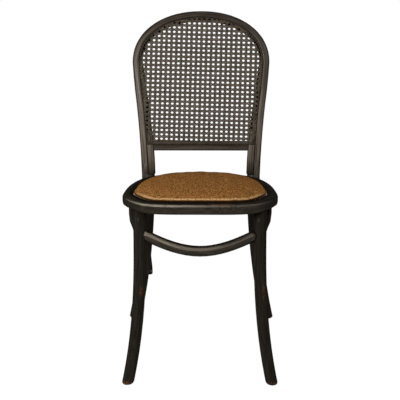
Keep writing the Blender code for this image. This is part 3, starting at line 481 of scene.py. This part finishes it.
def stained_wood_material(settings):
    """Dark stained bent wood with open grain, gloss on its front faces and rubbed places."""
    made, tree, shader = start_material("stained_bentwood")
    place = object_place(tree)
    grain = place_group(tree, timber_grain, {
        "Along Grain": attribute(tree, "grain"), "Streak Width": settings.grain_width,
        "Stretch": settings.grain_stretch})
    streaks, pores, tone = grain["Streaks"], grain["Pores"], grain["Tone"]
    polish, edge_highlight, _ = split(tree, attribute(tree, "polish"))
    # Painted shade on the frame wood behind the cane net, which also takes away the gloss there.
    behind = attribute(tree, "behind_net", "Fac")
    # Masks of the painted sheen on front faces and of the painted highlight along rounded edges; both also
    # set the coat's gloss.
    handled_sheen = place_group(tree, front_sheen, {"Amount": polish, "Streaks": streaks})["Mask"]
    line = place_group(tree, edge_highlight_line, {"Amount": edge_highlight, "Streaks": streaks})["Mask"]
    worn = None
    for centre, reach, broken in WORN_PLACES:
        spot = place_group(tree, worn_spot, {
            "Position": place, "Centre": centre, "Reach": reach, "Break Up": broken})["Mask"]
        worn = spot if worn is None else maths(tree, "MAXIMUM", worn, spot)
    dust = place_group(tree, settled_dust, {"Position": place, "Amount": 0.04})["Mask"]
    colour = blend_colours(tree, streaks, scaled(settings.stain, 0.55), scaled(settings.stain, 1.75))
    # Layers of grain, tone, painted sheen, painted edge highlight, rubbed places, dust and painted shade
    # behind the net.
    for mask, layer in (
            (product(tree, pores, 0.75), settings.grain_dark), (product(tree, tone, 0.30), SLOW_TONE),
            (product(tree, handled_sheen, 0.85), settings.handled_sheen), (line, settings.edge_highlight),
            (product(tree, worn, 0.8), settings.rubbed), (dust, DUST), (behind, NET_SHADE)):
        colour = blend_colours(tree, mask, colour, layer)
    rough = maths(tree, "MULTIPLY_ADD", streaks, -0.10, 0.34)
    rough = maths(tree, "MULTIPLY_ADD", pores, 0.16, rough)
    rough = maths(tree, "MULTIPLY_ADD", worn, 0.2, rough, clamp=True)
    height = maths(tree, "SUBTRACT", product(tree, streaks, 0.35), pores)
    gloss = maths(tree, "MULTIPLY_ADD", maths(tree, "MAXIMUM", handled_sheen, line), 0.55, 0.07)
    gloss = product(tree, gloss, maths(tree, "SUBTRACT", 1.0, behind))
    facing = node(tree, "ShaderNodeLayerWeight", {"Blend": 0.5}).outputs["Facing"]
    gloss = maths(tree, "MULTIPLY", gloss, maths(tree, "SUBTRACT", 1.0, facing), clamp=True)
    feed(tree, shader, {
        "Base Color": colour, "Roughness": rough, "Normal": bump(tree, height, 0.00022, 0.7),
        "Specular IOR Level": 0.0, "Coat Weight": gloss, "Coat Roughness": 0.24})
    return made


def stained_cane_material(name, settings, half_width, braid=0.0):
    """Dark stained cane with fine lines along each strand, and with a braid's gaps where one is given."""
    made, tree, shader = start_material(name)
    strand = attribute(tree, "strand")
    fibre = place_group(tree, strand_fibre, {"Strand": strand, "Half Width": half_width})
    base, specks = settings.colour, fibre["Specks"]
    colour = blend_colours(tree, fibre["Tone"], scaled(base, 0.35), scaled(base, 2.1))
    for mask, layer in (
            (product(tree, fibre["Lines"], 0.35), scaled(base, 0.3)),
            (remap(tree, specks, 0.52, 0.68, 0.0, 0.8), scaled(base, 3.2)),
            (remap(tree, specks, 0.46, 0.34), scaled(base, 0.2))):
        colour = blend_colours(tree, mask, colour, layer)
    if braid:
        across, along, _ = split(tree, strand)
        slant = maths(tree, "ADD", along, maths(tree, "ABSOLUTE", across))
        within = maths(tree, "FRACT", maths(tree, "DIVIDE", slant, braid))
        away = maths(tree, "ABSOLUTE", maths(tree, "SUBTRACT", within, 0.5))
        colour = blend_colours(tree, remap(tree, away, 0.22, 0.40, 0.0, 0.9), colour, BRAID_GAP)
    height = maths(tree, "MULTIPLY_ADD", fibre["Lines"], 0.10, fibre["Crown"])
    feed(tree, shader, {
        "Base Color": colour, "Roughness": maths(tree, "MULTIPLY_ADD", fibre["Lines"], 0.14, 0.40),
        "Normal": bump(tree, height, 0.00025, 0.8), "Specular IOR Level": 0.16})
    return made


def woven_rattan_material(settings):
    """Golden woven rattan of the seat."""
    made, tree, shader = start_material("woven_rattan")
    place = object_place(tree)
    weave = place_group(tree, plain_weave, {"Position": place, "Pitch": settings.pitch})
    dark = scaled(settings.colour, 0.62, 0.55, 0.50)
    pale = scaled(settings.colour, 1.50, 1.60, 1.75)
    mottle = noise(tree, vector_maths(tree, "MULTIPLY", place, (1.0, 0.30, 1.0)), 430.0, 2.0, 0.6)
    # Painted shade down between the strands, where the weave lies low.
    depth = maths(tree, "POWER", maths(tree, "SUBTRACT", 1.0, weave["Height"]), 1.6)
    # The rim's painted highlight is a beaded band at the top of the pad's side, and strongest at the front,
    # towards the lamps.
    _, inwards, up = split(tree, place)
    rim = product(
        tree, remap(tree, up, PAD_LOW.z + 0.0058, PAD_LOW.z + 0.0066),
        remap(tree, up, PAD_LOW.z + 0.0099, PAD_LOW.z + 0.0084),
        remap(tree, noise(tree, place, 300.0, 1.0), 0.38, 0.60, 0.15, 1.0),
        remap(tree, inwards, PAD_LOW.y + 0.10, PAD_LOW.y + 0.02, 0.05, 1.0))
    # Painted shade on the pad's side below its rim.
    side = remap(tree, up, PAD_LOW.z + 0.0062, PAD_LOW.z + 0.0046, 0.0, 0.92)
    colour = blend_colours(tree, weave["Tone"], dark, pale)
    for mask, layer in (
            (product(tree, weave["Lines"], 0.30), dark),
            (remap(tree, mottle, 0.54, 0.38, 0.0, 0.62), settings.deep_tone_and_shade),
            (remap(tree, mottle, 0.50, 0.66, 0.0, 0.75), pale),
            (product(tree, depth, 0.8), settings.deep_tone_and_shade), (rim, settings.rim), (side, settings.shadow)):
        colour = blend_colours(tree, mask, colour, layer)
    height = maths(tree, "MULTIPLY_ADD", weave["Lines"], 0.06, weave["Height"])
    feed(tree, shader, {
        "Base Color": colour, "Roughness": maths(tree, "MULTIPLY_ADD", weave["Lines"], 0.12, 0.44),
        "Normal": bump(tree, height, 0.0011, 0.9), "Specular IOR Level": 0.0})
    return made


def pale_wood_material():
    """Bare pale wood of the board and the dowels."""
    made, tree, shader = start_material("pale_wood")
    place = node(tree, "ShaderNodeMapping", {
        "Vector": object_place(tree), "Rotation": (0, math.pi / 2, 0)}).outputs[0]
    grain = place_group(tree, timber_grain, {"Along Grain": place, "Streak Width": 0.003, "Stretch": 18.0})
    colour = blend_colours(tree, grain["Streaks"], (0.42, 0.28, 0.15), (0.62, 0.46, 0.28))
    colour = blend_colours(tree, product(tree, grain["Pores"], 0.4), colour, (0.24, 0.14, 0.07))
    feed(tree, shader, {
        "Base Color": colour, "Roughness": maths(tree, "MULTIPLY_ADD", grain["Streaks"], 0.1, 0.58),
        "Normal": bump(tree, grain["Streaks"], 0.00015, 0.5)})
    return made


def steel_material():
    """Blackened steel of the bolts and screws."""
    made, tree, shader = start_material("blackened_steel")
    place = object_place(tree)
    grime = noise(tree, place, 700.0, 3.0)
    colour = blend_colours(tree, remap(tree, grime, 0.35, 0.7),
                           (0.060, 0.058, 0.056), (0.030, 0.028, 0.026))
    dust = place_group(tree, settled_dust, {"Position": place, "Amount": 0.3})["Mask"]
    feed(tree, shader, {
        "Base Color": blend_colours(tree, dust, colour, (0.10, 0.09, 0.08)),
        "Roughness": maths(tree, "MULTIPLY_ADD", grime, 0.3, 0.28), "Metallic": 1.0})
    return made


# Mesh helpers

def nothing_selected():
    """Leaves edit mode and deselects every object."""
    if bpy.context.object and bpy.context.object.mode != "OBJECT":
        bpy.ops.object.mode_set(mode="OBJECT")
    bpy.ops.object.select_all(action="DESELECT")


def only_selected(piece):
    """Makes piece the one selected and active object."""
    nothing_selected()
    piece.select_set(True)
    bpy.context.view_layer.objects.active = piece


def apply_modifier(piece, kind, label, **settings):
    """Adds a modifier with these settings and applies it."""
    only_selected(piece)
    modifier = piece.modifiers.new(label, kind)
    for key, value in settings.items():
        setattr(modifier, key, value)
    bpy.ops.object.modifier_apply(modifier=modifier.name)


def points_of(piece):
    """A piece's vertices as rows of x, y and z."""
    flat = np.empty(len(piece.data.vertices) * 3, np.float64)
    piece.data.vertices.foreach_get("co", flat)
    return flat.reshape(-1, 3)


def set_points(piece, points):
    """Moves a piece's vertices to these rows."""
    piece.data.vertices.foreach_set("co", np.ascontiguousarray(points, np.float32).ravel())
    piece.data.update()


def set_vectors(piece, name, vectors):
    """Stores one vector per vertex under a name that materials read."""
    stored = piece.data.attributes.new(name, "FLOAT_VECTOR", "POINT")
    stored.data.foreach_set("vector", np.ascontiguousarray(vectors, np.float32).ravel())


def mark_net_shade(piece, corners, amount):
    """Stores an amount on faces that look forwards or inwards and lie behind the cane, and 0 on others."""
    points = points_of(piece)[:, [0, 2]]
    ring = np.array([(c.x, c.y) for c in corners])
    side = np.roll(ring, -1, axis=0) - ring
    away = points[:, None, :] - ring[None, :, :]
    inside = (side[:, 0] * away[:, :, 1] - side[:, 1] * away[:, :, 0] > -1e-4 * np.hypot(*side.T)).all(1)
    marks = [amount * (f.normal.y < 0.2 and all(inside[v] for v in f.vertices)) for f in piece.data.polygons]
    piece.data.attributes.new("behind_net", "FLOAT", "FACE").data.foreach_set("value", marks)


def merged_copy(node_name, label):
    """A copy of a CAD node with its loose triangles merged and paired into four-sided faces."""
    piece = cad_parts[node_name].copy()
    piece.data = piece.data.copy()
    piece.name = piece.data.name = label
    piece.parent = None
    bpy.context.scene.collection.objects.link(piece)
    for key in list(piece.keys()):
        del piece[key]
    only_selected(piece)
    bpy.ops.object.mode_set(mode="EDIT")
    bpy.ops.mesh.select_all(action="SELECT")
    bpy.ops.mesh.remove_doubles(threshold=2e-6)
    bpy.ops.mesh.tris_convert_to_quads(face_threshold=math.radians(12), shape_threshold=math.radians(60))
    bpy.ops.object.mode_set(mode="OBJECT")
    return piece


def dress(piece, material, slot, *nodes):
    """Gives piece its material, its slot and its body, and hides the CAD nodes that it stands for."""
    piece.data.materials.clear()
    piece.data.materials.append(material)
    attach(piece, "root")
    if nodes:
        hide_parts(*nodes)


def run_along(points, way):
    """A number for each point that grows along the bent piece it is on."""
    x, y, z = points.T
    if way == "across":
        return x
    if way == "upright":
        return z
    if way == "round":
        middle = (points.max(0) + points.min(0)) / 2
        return np.arctan2(x - middle[0], middle[1] - y) * (points[:, 0].max() * 0.9)
    if way == "side_arch":
        middle = (y.max() + y.min()) / 2
        return np.arctan2(z - (z.min() - 0.02), middle - y) * -0.19
    radius = np.abs(x).max()
    turn = np.arctan2(np.maximum(z - SHOULDER, 0.0), -x)
    below = np.where(x < 0, z - SHOULDER, math.pi * radius + SHOULDER - z)
    return np.where(z < SHOULDER, below, turn * radius)


def grain_vectors(points, way, stations):
    """Two distances from the middle line of a bent piece and the distance along it, for each point."""
    run = run_along(points, way)
    edges = np.linspace(run.min(), run.max(), stations + 1)
    bins = np.clip(np.digitize(run, edges) - 1, 0, stations - 1)
    used = [b for b in range(stations) if (bins == b).sum() >= 3]
    at = np.array([(edges[b] + edges[b + 1]) / 2 for b in used])
    middle = np.array([(points[bins == b].max(0) + points[bins == b].min(0)) / 2 for b in used])
    line = np.stack([np.interp(run, at, middle[:, i]) for i in range(3)], 1)
    slope = np.gradient(middle, at, axis=0)
    along = np.stack([np.interp(run, at, slope[:, i]) for i in range(3)], 1)
    along /= np.linalg.norm(along, axis=1, keepdims=True) + 1e-9
    side = np.array((0.0, 1.0, 0.0)) if way in ("arch", "across", "round") else np.array((1.0, 0.0, 0.0))
    first = side - along * (along @ side)[:, None]
    first /= np.linalg.norm(first, axis=1, keepdims=True) + 1e-9
    second = np.cross(along, first)
    away = points - line
    return np.stack([(away * first).sum(1), (away * second).sum(1), run], 1)


# Cane weave

def back_curve():
    """The middle of the cane's thickness over its height, as a polynomial for y over z."""
    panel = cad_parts["cane_panel"]
    points = points_of(panel)
    heights = np.linspace(PANEL_LOW.z, PANEL_HIGH.z, 25)
    middles = []
    for low, high in zip(heights[:-1], heights[1:]):
        near = points[(points[:, 2] >= low) & (points[:, 2] <= high)]
        fitted = np.polyfit(near[:, 2], near[:, 1], 1)
        rest = near[:, 1] - np.polyval(fitted, near[:, 2])
        centre = (low + high) / 2
        middles.append((centre, np.polyval(fitted, centre) + (rest.max() + rest.min()) / 2))
    at, depth = np.array(middles).T
    return np.polyfit(at, depth, 4)


def cane_outline(tuck):
    """Corners of the cane's outline in x and z, moved out by tuck, and counter-clockwise."""
    points = points_of(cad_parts["cane_panel"])[:, [0, 2]]
    mesh = bmesh.new()
    for x, z in np.unique(points.round(5), axis=0):
        mesh.verts.new((x, z, 0.0))
    hull = bmesh.ops.convex_hull(mesh, input=mesh.verts)
    corners = [v.co.copy() for v in mesh.verts if v in hull["geom"] and v.link_edges]
    mesh.free()
    middle = sum(corners, Vector()) / len(corners)
    corners.sort(key=lambda c: math.atan2(c.y - middle.y, c.x - middle.x))
    return [c + (c - middle).normalized() * tuck for c in corners]


def strip(stations, width):
    """A flat strand through stations of (x, y, height): a plane's end edge extruded along them."""
    (x0, y0, h0), (x1, y1, _) = stations[0], stations[-1]
    along = Vector((x1 - x0, y1 - y0, 0)).normalized()
    turn = math.atan2(along.y, along.x)
    first = Vector(stations[1]) - Vector(stations[0])
    span = Vector((first.x, first.y)).length
    nothing_selected()
    bpy.ops.mesh.primitive_plane_add(
        size=1, location=(x0 + along.x * span / 2, y0 + along.y * span / 2, h0), rotation=(0, 0, turn))
    piece = bpy.context.object
    piece.scale = (span, width, 1)
    bpy.ops.object.transform_apply(location=True, rotation=True, scale=True)
    mesh = piece.data
    ends = sorted(range(4), key=lambda i: mesh.vertices[i].co.xy @ along.xy)
    for i in ends[2:]:
        mesh.vertices[i].co.z = stations[1][2]
    bpy.ops.object.mode_set(mode="EDIT")
    bpy.ops.mesh.select_all(action="DESELECT")
    bpy.ops.object.mode_set(mode="OBJECT")
    for i in ends[2:]:
        mesh.vertices[i].select = True
    for edge in mesh.edges:
        edge.select = all(mesh.vertices[v].select for v in edge.vertices)
    bpy.ops.object.mode_set(mode="EDIT")
    for here, after in zip(stations[1:-1], stations[2:]):
        bpy.ops.mesh.extrude_region_move(TRANSFORM_OT_translate={"value": Vector(after) - Vector(here)})
    bpy.ops.object.mode_set(mode="OBJECT")
    return piece


def joined(pieces, label):
    """One object of several."""
    nothing_selected()
    for piece in pieces:
        piece.select_set(True)
    bpy.context.view_layer.objects.active = pieces[0]
    bpy.ops.object.join()
    pieces[0].name = pieces[0].data.name = label
    return pieces[0]


def repeat(piece, columns, rows, across, up):
    """Repeats one tile of a strand over columns and rows, merged where the tiles meet."""
    for count, step in ((rows, (0.0, up, 0.0)), (columns, (across, 0.0, 0.0))):
        apply_modifier(piece, "ARRAY", "Repeat", count=count, use_relative_offset=False,
                       use_constant_offset=True, constant_offset_displace=step,
                       use_merge_vertices=True, merge_threshold=4e-5)


def cut_to_outline(piece, corners):
    """Cuts away what lies outside the outline."""
    only_selected(piece)
    bpy.ops.object.mode_set(mode="EDIT")
    for here, after in zip(corners, corners[1:] + corners[:1]):
        edge = after - here
        bpy.ops.mesh.select_all(action="SELECT")
        bpy.ops.mesh.bisect(plane_co=here, plane_no=(edge.y, -edge.x, 0), clear_outer=True, threshold=1e-6)
    bpy.ops.object.mode_set(mode="OBJECT")


def cane_layers(s):
    """Strand tiles of each layer around one crossing, with the way its strands run."""
    p, q, r, a, b = s.pitch_across / 2, s.pitch_up / 2, s.pair_reach, s.pair_wave, s.diagonal_wave
    clear = r + s.strand_width / 2 + 0.0012
    upright, level = [], []
    for side, first in ((-r, -a), (r, a)):
        upright.append([(side, -q, 0), (side, -clear, 0), (side, -r, first), (side, r, -first),
                        (side, clear, 0), (side, q, 0)])
        level.append([(-p, side, 0), (-clear, side, 0), (-r, side, first), (r, side, -first),
                      (clear, side, 0), (p, side, 0)])
    def slant(start, end, rise):
        return [(start[0] + (end[0] - start[0]) * t, start[1] + (end[1] - start[1]) * t, rise * f)
                for t, f in ((0.0, 1.0), (0.3, 0.9), (0.7, -0.9), (1.0, -1.0))]
    rising = [slant((-p, 0), (0, q), -b), slant((0, -q), (p, 0), b)]
    falling = [slant((-p, 0), (0, -q), b), slant((0, q), (p, 0), -b)]
    return (
        ("cane_upright", upright, s.strand_width, Vector((0, 1)), r),
        ("cane_level", level, s.strand_width, Vector((1, 0)), r),
        ("cane_rising", rising, s.diagonal_width, Vector((p, q)).normalized(), None),
        ("cane_falling", falling, s.diagonal_width, Vector((p, -q)).normalized(), None),
    )


def leant(points, angle):
    """Rows of x and y turned by an angle about the middle of the back."""
    middle = np.array((0.0, (PANEL_LOW.z + PANEL_HIGH.z) / 2))
    c, s = math.cos(angle), math.sin(angle)
    away = points[:, :2] - middle
    return np.stack([away[:, 0] * c - away[:, 1] * s, away[:, 0] * s + away[:, 1] * c], 1) + middle


def strand_vectors(points, way, pair_reach, s, origin):
    """Distance across its own strand, distance along it and its number, for each point."""
    x, y = (leant(points, s.lean) - origin).T
    along = x * way.x + y * way.y
    across = x * -way.y + y * way.x
    if pair_reach is None:
        step = abs(Vector((s.pitch_across, 0)).x * way.y)
        number = np.round(across / step - 0.5)
        return np.stack([across - (number + 0.5) * step, along, number + 401], 1)
    step = s.pitch_across if way.y > 0.5 else s.pitch_up
    pair = np.round(across / step)
    within = across - pair * step
    side = np.where(within < 0, -1.0, 1.0)
    return np.stack([within - side * pair_reach, along, pair * 2 + side * 0.5 + 900 * way.x], 1)


def weave_layer(label, tiles, width, way, pair_reach, s, corners, curve):
    """One layer of strands: tiled, cut to the outline, laid on the curve of the back and thickened."""
    low = Vector((min(c.x for c in corners), min(c.y for c in corners)))
    high = Vector((max(c.x for c in corners), max(c.y for c in corners)))
    columns = 2 * (int(max(high.x, -low.x) / s.pitch_across) + 2) + 1
    rows = int((high.y - low.y) / s.pitch_up) + 4
    first = (s.phase_across - (columns - 1) / 2 * s.pitch_across, PANEL_LOW.z - s.phase_up - s.pitch_up)
    piece = joined([strip(tile, width) for tile in tiles], label)
    piece.location = (first[0], first[1], 0)
    bpy.ops.object.transform_apply(location=True, rotation=False, scale=False)
    repeat(piece, columns, rows, s.pitch_across, s.pitch_up)
    points = points_of(piece)
    points[:, :2] = leant(points, -s.lean)
    set_points(piece, points)
    cut_to_outline(piece, corners)
    points = points_of(piece)
    set_vectors(piece, "strand", strand_vectors(points, way, pair_reach, s, first))
    slope = np.polyval(np.polyder(curve), points[:, 1])
    size = np.sqrt(1 + slope * slope)
    lift = points[:, 2]
    set_points(piece, np.stack([
        points[:, 0],
        np.polyval(curve, points[:, 1]) - lift / size,
        points[:, 1] + lift * slope / size], 1))
    apply_modifier(piece, "SOLIDIFY", "Thickness", thickness=s.thickness, offset=0.0)
    only_selected(piece)
    bpy.ops.object.shade_smooth_by_angle(angle=CANE_SMOOTH)
    return piece


# Seat pad

def swell(piece, s):
    """Swells the pad with a short cloth simulation and keeps each point within the allowed lift."""
    before = points_of(piece)
    group = piece.vertex_groups.new(name="held")
    low = before[:, 2] < PAD_LOW.z + PAD_HELD
    group.add([int(i) for i in np.nonzero(low)[0]], 1.0, "REPLACE")
    only_selected(piece)
    cloth = piece.modifiers.new("Filling", "CLOTH")
    for key, value in {
            "use_pressure": True, "uniform_pressure_force": s.pressure, "vertex_group_mass": "held",
            "tension_stiffness": 30, "compression_stiffness": 30, "bending_stiffness": 3,
            "quality": 5}.items():
        setattr(cloth.settings, key, value)
    cloth.settings.effector_weights.gravity = 0
    scene = bpy.context.scene
    for step in range(1, s.steps + 1):
        scene.frame_set(step)
    bpy.ops.object.modifier_apply(modifier=cloth.name)
    after = points_of(piece)
    move = after - before
    far = np.linalg.norm(move, axis=1, keepdims=True)
    set_points(piece, before + move * np.minimum(1.0, s.swell / np.maximum(far, 1e-9)))
    scene.frame_set(1)
    piece.vertex_groups.clear()


# Operators

class ChairDressWood(bpy.types.Operator):
    """Lay stained, grained surfaces over the bent wood"""
    bl_idname = "chair.dress_wood"
    bl_label = "Dress Bent Wood"

    def execute(self, context):
        settings = context.scene.chair_wood
        material = stained_wood_material(settings)
        corners = cane_outline(0.0)
        for node_name, way in BENT_WOOD.items():
            piece = merged_copy(node_name, node_name + "_finished")
            points = points_of(piece)
            stations = 90 if way in ("arch", "round") else 36
            vectors = grain_vectors(points, way, stations)
            vectors[:, 2] += 3.1 * list(BENT_WOOD).index(node_name)
            set_vectors(piece, "grain", vectors)
            polish = np.full(len(points), POLISH_AND_SHEEN.get(node_name, 0.0))
            if node_name in ("back_hoop", "cane_frame"):
                polish *= np.interp(points[:, 2], GLOSS_AND_SHEEN_HEIGHTS, GLOSS_AND_SHEEN_SHARES)
            # The painted edge highlight is brightest at the left, where the lamps stand, and dimmer to the
            # right.
            edge = EDGE_HIGHLIGHT.get(node_name, 0.0) * np.clip(0.58 - points[:, 0] / 0.22, 0.22, 1.0)
            set_vectors(piece, "polish", np.stack([polish, edge, np.zeros(len(points))], 1))
            mark_net_shade(piece, corners, 0.0 if node_name == "back_rail" else 1.0)
            only_selected(piece)
            bpy.ops.object.shade_smooth_by_angle(angle=settings.smooth_angle)
            dress(piece, material, "stained_wood", node_name)
        return {"FINISHED"}


class ChairWeaveCane(bpy.types.Operator):
    """Weave the six-way cane of the back"""
    bl_idname = "chair.weave_cane"
    bl_label = "Weave Cane Back"

    def execute(self, context):
        s = context.scene.chair_cane
        corners = cane_outline(s.tuck)
        curve = back_curve()
        layers = [weave_layer(*layer, s, corners, curve) for layer in cane_layers(s)]
        cane = joined(layers, "cane_weave")
        material = stained_cane_material("stained_cane", s, s.strand_width / 2)
        dress(cane, material, "stained_cane", "cane_panel")
        reed = merged_copy("cane_reed", "cane_reed_finished")
        vectors = grain_vectors(points_of(reed), "arch", 110)
        set_vectors(reed, "strand", vectors[:, [1, 2, 0]])
        only_selected(reed)
        bpy.ops.object.shade_smooth_by_angle(angle=CANE_SMOOTH)
        stain = stained_cane_material("cane_reed_stain", s, REED_HALF_WIDTH, s.braid)
        dress(reed, stain, "stained_cane", "cane_reed")
        return {"FINISHED"}


class ChairUpholsterSeat(bpy.types.Operator):
    """Form the crowned seat pad and give it its woven rattan"""
    bl_idname = "chair.upholster_seat"
    bl_label = "Upholster Seat"

    def execute(self, context):
        s = context.scene.chair_seat
        pad = merged_copy("seat_pad", "seat_pad_woven")
        apply_modifier(pad, "REMESH", "Even Faces", mode="VOXEL", voxel_size=s.voxel, use_smooth_shade=True)
        swell(pad, s)
        apply_modifier(pad, "SMOOTH", "Even Out", factor=0.5, iterations=10)
        apply_modifier(pad, "SUBSURF", "Soften", levels=1, render_levels=1)
        only_selected(pad)
        bpy.ops.object.shade_smooth()
        dress(pad, woven_rattan_material(s), "woven_rattan", "seat_pad")
        return {"FINISHED"}


class ChairFinishFittings(bpy.types.Operator):
    """Give the board, dowels, bolts and screws their finishes"""
    bl_idname = "chair.finish_fittings"
    bl_label = "Finish Fittings"

    def execute(self, context):
        slots = {"pale_wood": pale_wood_material(), "steel": steel_material()}
        dressed = set(BENT_WOOD) | {"cane_panel", "cane_reed", "seat_pad"}
        for name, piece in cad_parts.items():
            if name in dressed:
                continue
            slot = "pale_wood" if name.startswith(("seat_board", "bow_dowel", "rail_dowel")) else "steel"
            for material_slot in piece.material_slots:
                material_slot.material = slots[slot]
        return {"FINISHED"}


# Place, aim, width and height of each lamp, and the setting that holds its power.
LAMPS = {
    "front_lamp": ((-1.15, -2.35, 1.42), (0, 0.1, 0.7), 1.5, 0.46, "key_power"),
    "side_lamp": ((-2.2, -0.9, 1.15), (0, 0.2, 0.75), 0.7, 0.3, "side_power"),
}

# The floor's own light, which its shadow share brings down to about white.
FLOOR_WHITE = 1.19


def white_rays(tree):
    """1 for the rays that see a white background, and 0 for those that carry light."""
    rays = node(tree, "ShaderNodeLightPath").outputs
    return maths(tree, "MAXIMUM", rays["Is Camera Ray"], maths(
        tree, "MAXIMUM", rays["Is Glossy Ray"], rays["Is Transmission Ray"]))


class ChairBuildStudio(bpy.types.Operator):
    """Set up the white floor, the soft lamps and the camera"""
    bl_idname = "chair.build_studio"
    bl_label = "Build Studio"

    def execute(self, context):
        s = context.scene.chair_studio
        scene = context.scene
        scene.view_settings.view_transform = "Standard"
        self.floor(s)
        self.world(scene, s)
        for label, (*lamp, power) in LAMPS.items():
            self.lamp(label, *lamp, getattr(s, power))
        camera = bpy.data.objects.new("camera", bpy.data.cameras.new("camera"))
        scene.collection.objects.link(camera)
        camera.location = Matrix.Rotation(s.camera_turn, 3, "Z") @ Vector(s.camera_place)
        camera.rotation_euler = (math.pi / 2 - s.camera_tilt, 0, s.camera_turn)
        camera.data.lens = s.lens
        camera.data.sensor_width = 36
        camera.data.clip_end = 60
        scene.camera = camera
        return {"FINISHED"}

    def floor(self, s):
        """A white floor that keeps the chair's shadow."""
        nothing_selected()
        bpy.ops.mesh.primitive_plane_add(size=24, location=(0, 0, -0.0004))
        floor = bpy.context.object
        floor.name = "floor"
        bpy.ops.object.transform_apply(location=True, rotation=True, scale=True)
        made = bpy.data.materials.new("white_floor")
        made.use_nodes = True
        tree = made.node_tree
        tree.nodes.clear()
        paper = remap(tree, noise(tree, object_place(tree), 40.0, 2.0), 0.3, 0.7)
        pale = blend_colours(tree, paper, (0.84, 0.84, 0.84), (0.87, 0.87, 0.87))
        lit = node(tree, "ShaderNodeBsdfDiffuse", {"Color": pale})
        white = node(tree, "ShaderNodeEmission", {"Color": (1, 1, 1, 1), "Strength": FLOOR_WHITE})
        share = product(tree, white_rays(tree), 1.0 - s.floor_shade)
        mixed = node(tree, "ShaderNodeMixShader", {0: share, 1: lit.outputs[0], 2: white.outputs[0]})
        out = node(tree, "ShaderNodeOutputMaterial", {"Surface": mixed.outputs[0]})
        out.is_active_output = True
        floor.data.materials.append(made)

    def world(self, scene, s):
        """Even light from all round, with white where the camera sees past the floor."""
        sky = bpy.data.worlds.new("studio")
        sky.use_nodes = True
        tree = sky.node_tree
        tree.nodes.clear()
        strength = node(tree, "ShaderNodeMix", {0: white_rays(tree), 2: s.sky, 3: 1.0}).outputs[0]
        light = node(tree, "ShaderNodeBackground", {"Color": (1, 1, 1, 1), "Strength": strength})
        node(tree, "ShaderNodeOutputWorld", {"Surface": light.outputs[0]})
        scene.world = sky

    def lamp(self, label, place, aim, width, height, power):
        """A soft rectangular lamp."""
        data = bpy.data.lights.new(label, "AREA")
        data.shape = "RECTANGLE"
        data.size, data.size_y, data.energy = width, height, power
        lamp = bpy.data.objects.new(label, data)
        bpy.context.scene.collection.objects.link(lamp)
        lamp.location = place
        lamp.rotation_euler = (Vector(aim) - Vector(place)).to_track_quat("-Z", "Y").to_euler()


OPERATORS = (ChairDressWood, ChairWeaveCane, ChairUpholsterSeat, ChairFinishFittings, ChairBuildStudio)


class ChairPanel(bpy.types.Panel):
    """Steps that build the chair, with their settings"""
    bl_idname = "VIEW3D_PT_chair"
    bl_label = "Rattan Dining Chair"
    bl_space_type = "VIEW_3D"
    bl_region_type = "UI"
    bl_category = "Chair"

    def draw(self, context):
        for operator in OPERATORS:
            self.layout.operator(operator.bl_idname)
        for label, kind in SETTINGS.items():
            box = self.layout.box()
            for name in kind.__annotations__:
                box.prop(getattr(context.scene, label), name)


def register():
    """Registers the settings, the operators and the panel."""
    for kind in (*SETTINGS.values(), *OPERATORS, ChairPanel):
        bpy.utils.register_class(kind)
    for label, kind in SETTINGS.items():
        setattr(bpy.types.Scene, label, PointerProperty(type=kind))


def unregister():
    """Takes them all away again."""
    for label in SETTINGS:
        delattr(bpy.types.Scene, label)
    for kind in (ChairPanel, *OPERATORS, *reversed(list(SETTINGS.values()))):
        bpy.utils.unregister_class(kind)


def main():
    """Registers everything, builds the chair and the studio, and notes both boxes."""
    register()
    bpy.ops.chair.dress_wood()
    bpy.ops.chair.weave_cane()
    bpy.ops.chair.upholster_seat()
    bpy.ops.chair.finish_fittings()
    bpy.ops.chair.build_studio()


if __name__ == "__main__":
    main()
